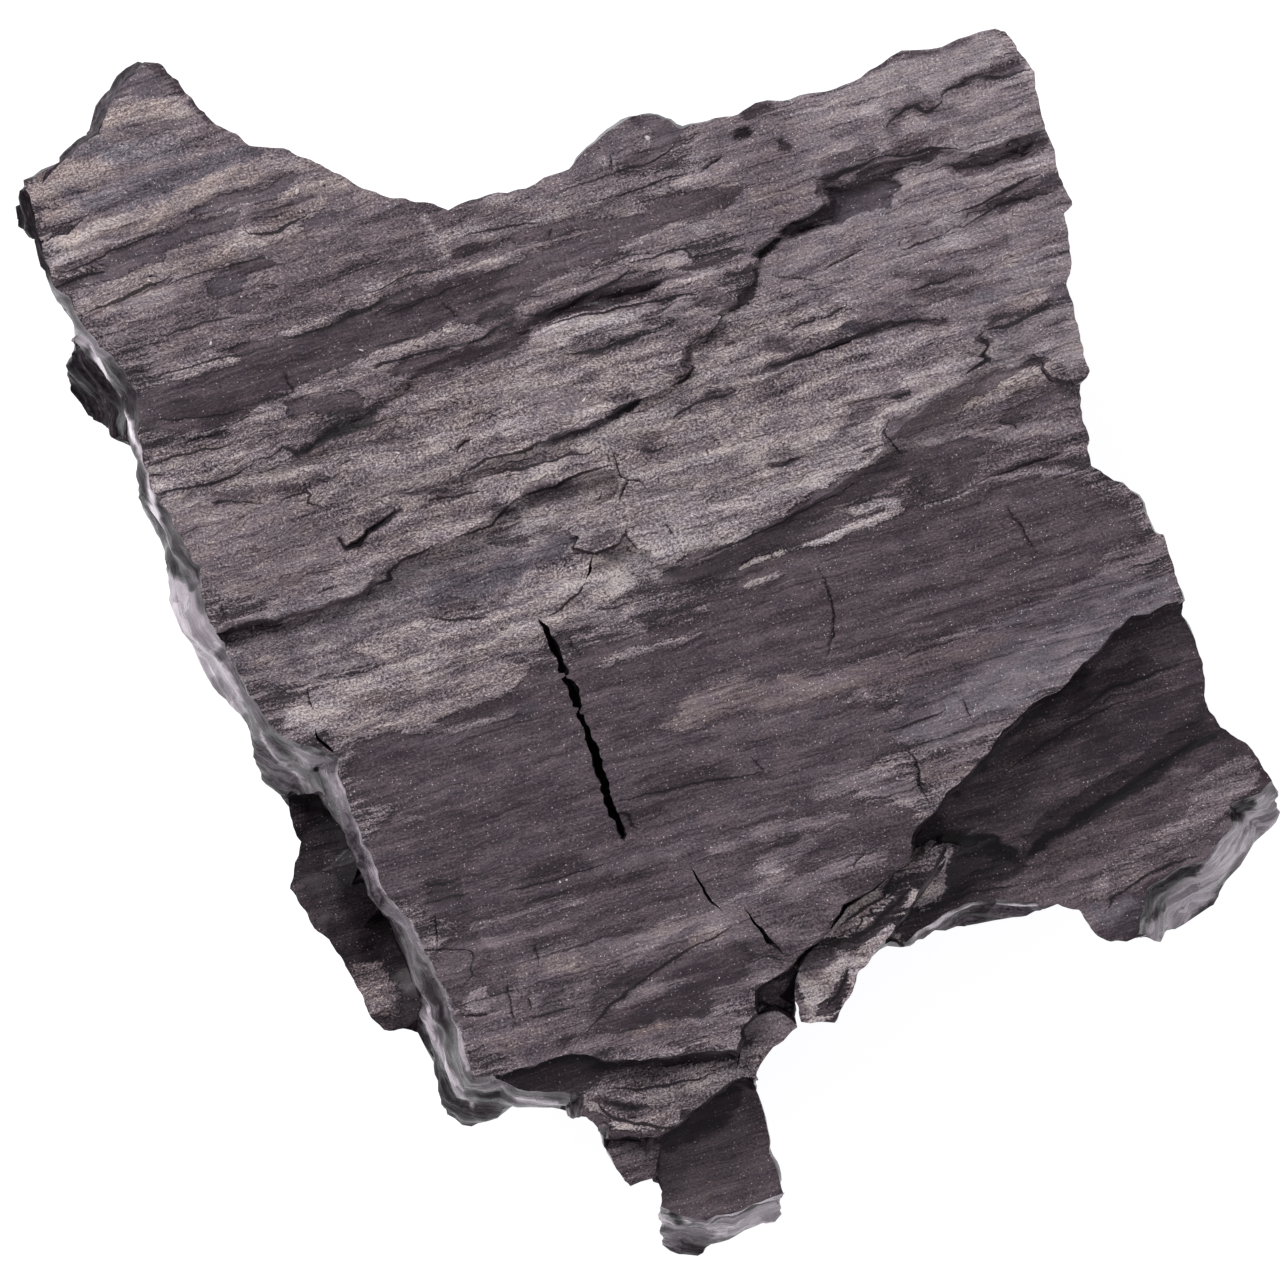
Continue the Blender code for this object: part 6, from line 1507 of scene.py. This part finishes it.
# %% Patterns of the dusty face
DUSTY_PATTERNS = [
    # name, size in mm along the grain, across it and upwards, detail and roughness of the noise
    ("streak", (5.0, 0.7, 2.0), 4.0, 0.65),  # bands of early and late wood
    ("fibre", (3.8, 0.12, 1.0), 1.0, 0.5),  # bundles of fibres: a single one would not show
    ("split", (5.5, 0.15, 1.0), 1.0, 0.4),  # splits and the ridges between them
    ("grit", (0.13, 0.09, 0.4), 3.0, 0.75),  # silt in the crust, drawn a little too coarse
    ("blotch", (1.5, 0.8, 2.0), 4.0, 0.65),  # stains
    ("flake", (4.0, 0.8, 2.0), 2.0, 0.5),  # thin flakes
]
SOFTLY = {"interpolation_type": "SMOOTHSTEP"}
PLUS, MINUS, TIMES = {"operation": "ADD"}, {"operation": "SUBTRACT"}, {"operation": "MULTIPLY"}
TIMES_PLUS, SIZE_OF = {"operation": "MULTIPLY_ADD"}, {"operation": "ABSOLUTE"}
WITHIN_ONE = {"operation": "MULTIPLY_ADD", "use_clamp": True}

dusty = bpy.data.materials.new("jet, dusty wood-grained face")
dusty.use_nodes = True
tree, shader = dusty.node_tree, dusty.node_tree.nodes["Principled BSDF"]
film_of = {name: add(tree, "Attribute", {"attribute_name": name}).outputs["Fac"]
           for name in ("tone", "rough", "tinge", "crust", "bare", "crack", "crack width",
                        "grains")}
grain = add(tree, "Attribute", {"attribute_name": "grain"}).outputs["Vector"]
wave = {}
for name, size, detail, roughness in DUSTY_PATTERNS:
    spot = add(tree, "VectorMath", TIMES, [grain, [1 / side for side in size]])
    wave[name] = add(tree, "TexNoise", {"noise_dimensions": "2D"},
                     {"Vector": spot, "Scale": 1.0, "Detail": detail, "Roughness": roughness})
print("patterns of the dusty face:", ", ".join(wave))

# %% [markdown]
# A wave of noise is soft, and split wood is not. Each wave is made steep where it crosses its
# middle value, and turns into bands with clear edges. Smooth stone shows its straight fibres,
# rough crust shows more grit, so the roughness of the film sets the share of each.

# %% Bands, threads and grit
CRISP, FIBRE_CRISP = (0.36, 0.64), (0.34, 0.66)
BAND, THREAD, SPOT = 0.10, 0.06, 0.07
RIDGES = [
    # between two values of the split noise, tone before and after: dark splits, pale ridges
    (0.61, 0.68, 0.0, -0.13), (0.31, 0.38, 0.08, 0.0),
]
BY_ROUGHNESS = {
    # what rough crust adds to the strength of a pattern, and its strength on smooth stone
    "bands": (0.4, 0.65), "threads": (-0.6, 1.2), "grains": (0.6, 1.25), "all": (0.68, 0.35),
}

strength = {name: add(tree, "Math", TIMES_PLUS, [film_of["rough"], *terms])
            for name, terms in BY_ROUGHNESS.items()}
bands = add(tree, "MapRange", SOFTLY, [wave["streak"], *CRISP, -BAND, BAND])
bands = add(tree, "Math", TIMES, [bands, strength["bands"]])
threads = add(tree, "MapRange", SOFTLY, [wave["fibre"], *FIBRE_CRISP, -THREAD, THREAD])
for ridge in RIDGES:
    lines = add(tree, "MapRange", SOFTLY, [wave["split"], *ridge])
    threads = add(tree, "Math", PLUS, [threads, lines])
threads = add(tree, "Math", TIMES, [threads, strength["threads"]])
spots = add(tree, "MapRange", SOFTLY, [wave["blotch"], *CRISP, -SPOT, SPOT])
grit = add(tree, "Math", MINUS, [wave["grit"], 0.5])
grains = add(tree, "Math", TIMES, [grit, strength["grains"]])
texture = add(tree, "Math", PLUS, [add(tree, "Math", PLUS, [bands, threads]),
                                   add(tree, "Math", PLUS, [spots, grains])])
print("nodes so far:", len(tree.nodes))

# %% [markdown]
# The crust doesn't fade out like paint. It ends in crisp, ragged edges that follow the fibres,
# with a thin painted shadow around it on the bare side. Where the film is smooth, it blends
# softly instead.

# %% Crust over bare stone
EDGE_SHARES = ((bands, 1.1), (threads, 0.9), (spots, 0.8), (grains, 0.45))
EDGE_LEVEL, EDGE_BLUR = (0.46, 0.52), (-0.46, 0.36)
STONE_SHARE = 0.85
RIM_LEVEL, RIM_WIDTH, CRUST_RIM_SHADE = 0.40, 0.07, 0.13

ragged = film_of["crust"]
for pattern, share in EDGE_SHARES:
    ragged = add(tree, "Math", TIMES_PLUS, [pattern, share, ragged])
blur = add(tree, "Math", WITHIN_ONE, [film_of["rough"], *EDGE_BLUR])
covered = add(tree, "MapRange", SOFTLY,
              [ragged, add(tree, "Math", MINUS, [EDGE_LEVEL[0], blur]),
               add(tree, "Math", PLUS, [EDGE_LEVEL[1], blur]), 0.0, 1.0])
crust_value = add(tree, "Math", TIMES_PLUS, [texture, strength["all"], film_of["tone"]])
stone_strength = add(tree, "Math", TIMES, [strength["all"], STONE_SHARE])
stone_value = add(tree, "Math", TIMES_PLUS, [texture, stone_strength, film_of["bare"]])
value = add(tree, "Mix", {"data_type": "FLOAT"}, {0: covered, 2: stone_value, 3: crust_value})
# a thin painted shadow where the crust ends, on the side of the bare stone
rim = add(tree, "Math", SIZE_OF, [add(tree, "Math", MINUS, [ragged, RIM_LEVEL])])
rim = add(tree, "MapRange", SOFTLY, [rim, 0.0, RIM_WIDTH, CRUST_RIM_SHADE, 0.0])
value = add(tree, "Math", MINUS, [value, add(tree, "Math", TIMES, [rim, film_of["rough"]])])
print("the crust ends where its cover is about", EDGE_LEVEL)

# %% [markdown]
# Thin dark lines mark the edges of flakes. A long smooth wave gives them: there is a line
# wherever it passes one of two values. Specks of pale dust lie everywhere.

# %% Flake edges and specks
EDGES_APART, EDGE_LINE, EDGE_DARK = 0.05, (0.002, 0.014), -0.38
FLAKY = (0.45, 0.6)
SPECK_SPACING, SPECK_SIZE = 0.2, (0.04, 0.21)
SPECK_CHANCE, SPECK_PALE = 0.70, 0.62

line = add(tree, "Math", SIZE_OF, [add(tree, "Math", MINUS, [wave["flake"], 0.5])])
line = add(tree, "Math", SIZE_OF, [add(tree, "Math", MINUS, [line, EDGES_APART])])
line = add(tree, "MapRange", SOFTLY, [line, *EDGE_LINE, 1.0, 0.0])
flaky = add(tree, "MapRange", SOFTLY, [wave["blotch"], *FLAKY, 0.0, 1.0])
line = add(tree, "Math", TIMES, [line, add(tree, "Math", TIMES, [film_of["rough"], flaky])])
value = add(tree, "Math", TIMES_PLUS, [line, EDGE_DARK, value])

spot = add(tree, "VectorMath", TIMES, [grain, [1 / SPECK_SPACING] * 3])
cells = add(tree, "TexVoronoi", {"voronoi_dimensions": "2D"}, {"Vector": spot, "Scale": 1.0})
chance = add(tree, "SeparateColor", {}, [cells.outputs["Color"]])
chance = add(tree, "MapRange", SOFTLY, [chance, SPECK_CHANCE, 1.0, 0.0, SPECK_PALE])
speck = add(tree, "MapRange", SOFTLY, [cells, *SPECK_SIZE, 1.0, 0.0])
value = add(tree, "Math", PLUS, [add(tree, "Math", TIMES, [speck, chance]), value])
print("specks of dust, mm apart:", SPECK_SPACING)

# %% [markdown]
# The skin keeps its distance from each crack, so the shader can draw the crack finer than the
# faces of the skin. The line of a crack or a lip is darkened, and on the low side of a flake's
# lip lies a thin painted shadow. Grains of mineral come last, because they sit on top.

# %% Cracks, shadows below lips and grains
CRACK_RAGGED, CRACK_EDGE, CRACK_LIGHT = 0.12, (-0.02, 0.04), 0.2
SHADOW_WIDTH, SHADOW_DARK, SHADOW_LIPS = 0.36, 0.14, (0.02, 0.06)
MINERAL_EDGE, MINERAL_PALE = (0.6, 1.1), 0.75

off_line = add(tree, "Math", MINUS, [add(tree, "Math", SIZE_OF, [film_of["crack"]]),
                                     film_of["crack width"]])
off_line = add(tree, "Math", TIMES_PLUS, [grit, CRACK_RAGGED, off_line])
# the dark line of each crack, and painted shade along the line of each lip
light = add(tree, "MapRange", SOFTLY, [off_line, *CRACK_EDGE, CRACK_LIGHT, 1.0])
shadow = add(tree, "MapRange", SOFTLY, [film_of["crack"], 0.0, SHADOW_WIDTH, SHADOW_DARK, 0.0])
wide = add(tree, "MapRange", SOFTLY, [film_of["crack width"], *SHADOW_LIPS, 0.0, 1.0])
value = add(tree, "Math", MINUS, [value, add(tree, "Math", TIMES, [shadow, wide])])
value = add(tree, "Math", TIMES, [value, light])
mineral = add(tree, "MapRange", SOFTLY, [film_of["grains"], *MINERAL_EDGE, MINERAL_PALE, 0.0])
value = add(tree, "Math", PLUS, [value, mineral])
print("nodes so far:", len(tree.nodes))

# %% [markdown]
# So far the pattern is one value, from black to pale. A ramp turns it into greys with a hint
# of mauve, and stains tint those towards tan or slate blue. Jet has a refractive index of
# about 1.66. Dust scatters most of its sheen, so the specular level is low and pale crust is
# rougher than dark stone.

# %% Colour and surface of the dusty face
DUSTY_STOPS = [(0.0, "#100b0f"), (0.25, "#392e35"), (0.5, "#6f636a"), (0.75, "#a1969a"),
               (1.0, "#d6ced1")]
STAIN_EDGE, STAIN = (0.3, 0.7), 0.30
TINTS = [("#fff4e5", 0.9), ("#e4f3fb", -0.9)]
JET_IOR = 1.66
DUSTY_SHEEN = 0.18
ROUGHNESS_BY_VALUE = (0.9, 0.38)
GRIT_HEIGHT = 0.05


def set_stops(ramp, stops):
    """Gives a colour ramp its stops: places from 0 to 1 and hex colours."""
    elements = ramp.color_ramp.elements
    while len(elements) < len(stops):
        elements.new(0.5)
    for element, (position, colour) in zip(elements, stops):
        element.position = position
        element.color = linear(colour)


ramp = add(tree, "ValToRGB", {}, [value])
set_stops(ramp, DUSTY_STOPS)
stain = add(tree, "MapRange", SOFTLY, [wave["blotch"], *STAIN_EDGE, -STAIN, STAIN])
stain = add(tree, "Math", PLUS, [stain, film_of["tinge"]])
colour = ramp.outputs["Color"]
for tint, share in TINTS:
    amount = add(tree, "Math", {"operation": "MULTIPLY", "use_clamp": True}, [stain, share])
    colour = add(tree, "Mix", {"data_type": "RGBA", "blend_type": "MULTIPLY"},
                 {0: amount, 6: colour, 7: linear(tint)}).outputs[2]
dull = add(tree, "Math", WITHIN_ONE, [value, *ROUGHNESS_BY_VALUE])
relief = add(tree, "Math", TIMES, [film_of["rough"], GRIT_HEIGHT])
relief = add(tree, "Math", TIMES_PLUS,
             [wave["grit"], relief, add(tree, "Math", TIMES, [covered, relief])])
bump = add(tree, "Bump", {}, {"Strength": 1.0, "Distance": MM, "Height": relief})
fill(shader, {"Base Color": colour, "Roughness": dull, "IOR": JET_IOR,
              "Specular IOR Level": DUSTY_SHEEN, "Normal": bump})
skin.materials.append(dusty)
print("nodes of the dusty face:", len(tree.nodes))

# %% [markdown]
# ## Fresh break
#
# Broken jet is nearly black and glossy. Most of the paleness of its sides is reflection: a
# side that is seen very flat mirrors the white table. Much of it is also painted into the colour
# of the sides, as pale tones and highlights. Layers of the old wood, shell-like facets and fine
# hackles bend that sheen from line to line, in the bump and as painted bands of sheen. Where
# the break is dull, fine crumbs scatter the light instead.

# %% Patterns of the fresh break
BREAK_PATTERNS = [
    # name, size in mm, detail and roughness of the noise
    ("layer", (5.0, 5.0, 0.4), 4.0, 0.6),  # layers of the wood
    ("hackle", (1.6, 1.6, 0.8), 3.0, 0.6),  # hackles: the fine steps of a fast break
    ("facet", (2.2, 2.2, 1.5), 2.0, 0.5),  # shells
    ("crumb", (0.3, 0.3, 0.3), 3.0, 0.7),  # crumbs of an old break
]

fresh = bpy.data.materials.new("jet, fresh glossy break")
fresh.use_nodes = True
tree, shader = fresh.node_tree, fresh.node_tree.nodes["Principled BSDF"]
side_of = {name: add(tree, "Attribute", {"attribute_name": name}).outputs["Fac"]
           for name in ("frost_and_reflection", "gloss")}
grain = add(tree, "Attribute", {"attribute_name": "grain"}).outputs["Vector"]
wave = {}
for name, size, detail, roughness in BREAK_PATTERNS:
    spot = add(tree, "VectorMath", TIMES, [grain, [1 / side for side in size]])
    wave[name] = add(tree, "TexNoise", {"noise_dimensions": "3D"},
                     {"Vector": spot, "Scale": 1.0, "Detail": detail, "Roughness": roughness})
print("patterns of the fresh break:", ", ".join(wave))

# %% [markdown]
# The noises become the painted sheen of folds of the surface, in lighter and darker bands:
# soft layers, shells with a thin dark line where two of them meet, and hackles. Crumbs come in
# as the gloss goes.

# %% Painted sheen of the folds of the fresh break
FOLD_SHEEN, HACKLE_SHARE, CRUMB_SHARE = 0.07, 0.18, 0.9
LAYER_CRISP, SHELL_CRISP = (0.42, 0.58), (0.47, 0.53)
SHELL_LINE, SHELL_DARK = 0.012, -0.16

# painted sheen: lighter and darker bands where layers, shells and hackles would turn the light
fold_sheen_and_crumbs = add(tree, "MapRange", SOFTLY, [wave["layer"], *LAYER_CRISP, -FOLD_SHEEN, FOLD_SHEEN])
hackles = add(tree, "Math", MINUS, [wave["hackle"], 0.5])
fold_sheen_and_crumbs = add(tree, "Math", TIMES_PLUS, [hackles, HACKLE_SHARE, fold_sheen_and_crumbs])
shells = add(tree, "MapRange", SOFTLY, [wave["facet"], *SHELL_CRISP, -FOLD_SHEEN, FOLD_SHEEN])
edge = add(tree, "Math", SIZE_OF, [add(tree, "Math", MINUS, [wave["facet"], 0.5])])
edge = add(tree, "MapRange", SOFTLY, [edge, 0.0, SHELL_LINE, SHELL_DARK, 0.0])
for part in (shells, edge):
    fold_sheen_and_crumbs = add(tree, "Math", PLUS, [fold_sheen_and_crumbs, part])
dull = add(tree, "Math", MINUS, [1.0, side_of["gloss"]])
dull = add(tree, "Math", TIMES, [dull, CRUMB_SHARE])
crumbs = add(tree, "Math", MINUS, [wave["crumb"], 0.5])
fold_sheen_and_crumbs = add(tree, "Math", TIMES_PLUS, [crumbs, dull, fold_sheen_and_crumbs])
# the tone of a side: frost and painted reflection, with the painted sheen of its folds and the crumbs
value = add(tree, "Math", PLUS, [side_of["frost_and_reflection"], fold_sheen_and_crumbs])
print("nodes so far:", len(tree.nodes))

# %% [markdown]
# The colour runs from black to a pale grey: frost of a dull break, and painted reflection and
# highlights where a glossy side would mirror the table. The roughness is that of polished to
# satin stone, because hackles are too fine to be drawn one by one. The index of refraction is
# that of jet everywhere; only the specular level falls where the break is dull.

# %% Colour and surface of the fresh break
BREAK_STOPS = [(0.05, "#120d11"), (0.3, "#2c252b"), (0.55, "#625861"), (0.8, "#a89da6"),
               (1.0, "#e2dae0")]
SATIN_EDGE, SATIN = (0.3, 0.7), (0.16, 0.42)
SHEEN_CURVE, SHEEN_MOST = 1.7, 0.5
SHEEN_TINT = "#f6eaf2"
LAYER_HEIGHT, HACKLE_HEIGHT = 0.12, 0.06
BREAK_BUMP = 0.8

ramp = add(tree, "ValToRGB", {}, [value])
set_stops(ramp, BREAK_STOPS)
satin = add(tree, "MapRange", SOFTLY, [wave["hackle"], *SATIN_EDGE, *SATIN])
sheen = add(tree, "Math", {"operation": "POWER"}, [side_of["gloss"], SHEEN_CURVE])
sheen = add(tree, "Math", TIMES, [sheen, SHEEN_MOST])
relief = add(tree, "Math", TIMES, [wave["hackle"], HACKLE_HEIGHT])
relief = add(tree, "Math", TIMES_PLUS, [wave["layer"], LAYER_HEIGHT, relief])
bump = add(tree, "Bump", {}, {"Strength": BREAK_BUMP, "Distance": MM, "Height": relief})
fill(shader, {"Base Color": ramp, "Roughness": satin, "IOR": JET_IOR,
              "Specular IOR Level": sheen, "Specular Tint": linear(SHEEN_TINT), "Normal": bump})
skin.materials.append(fresh)
print("nodes of the fresh break:", len(tree.nodes))
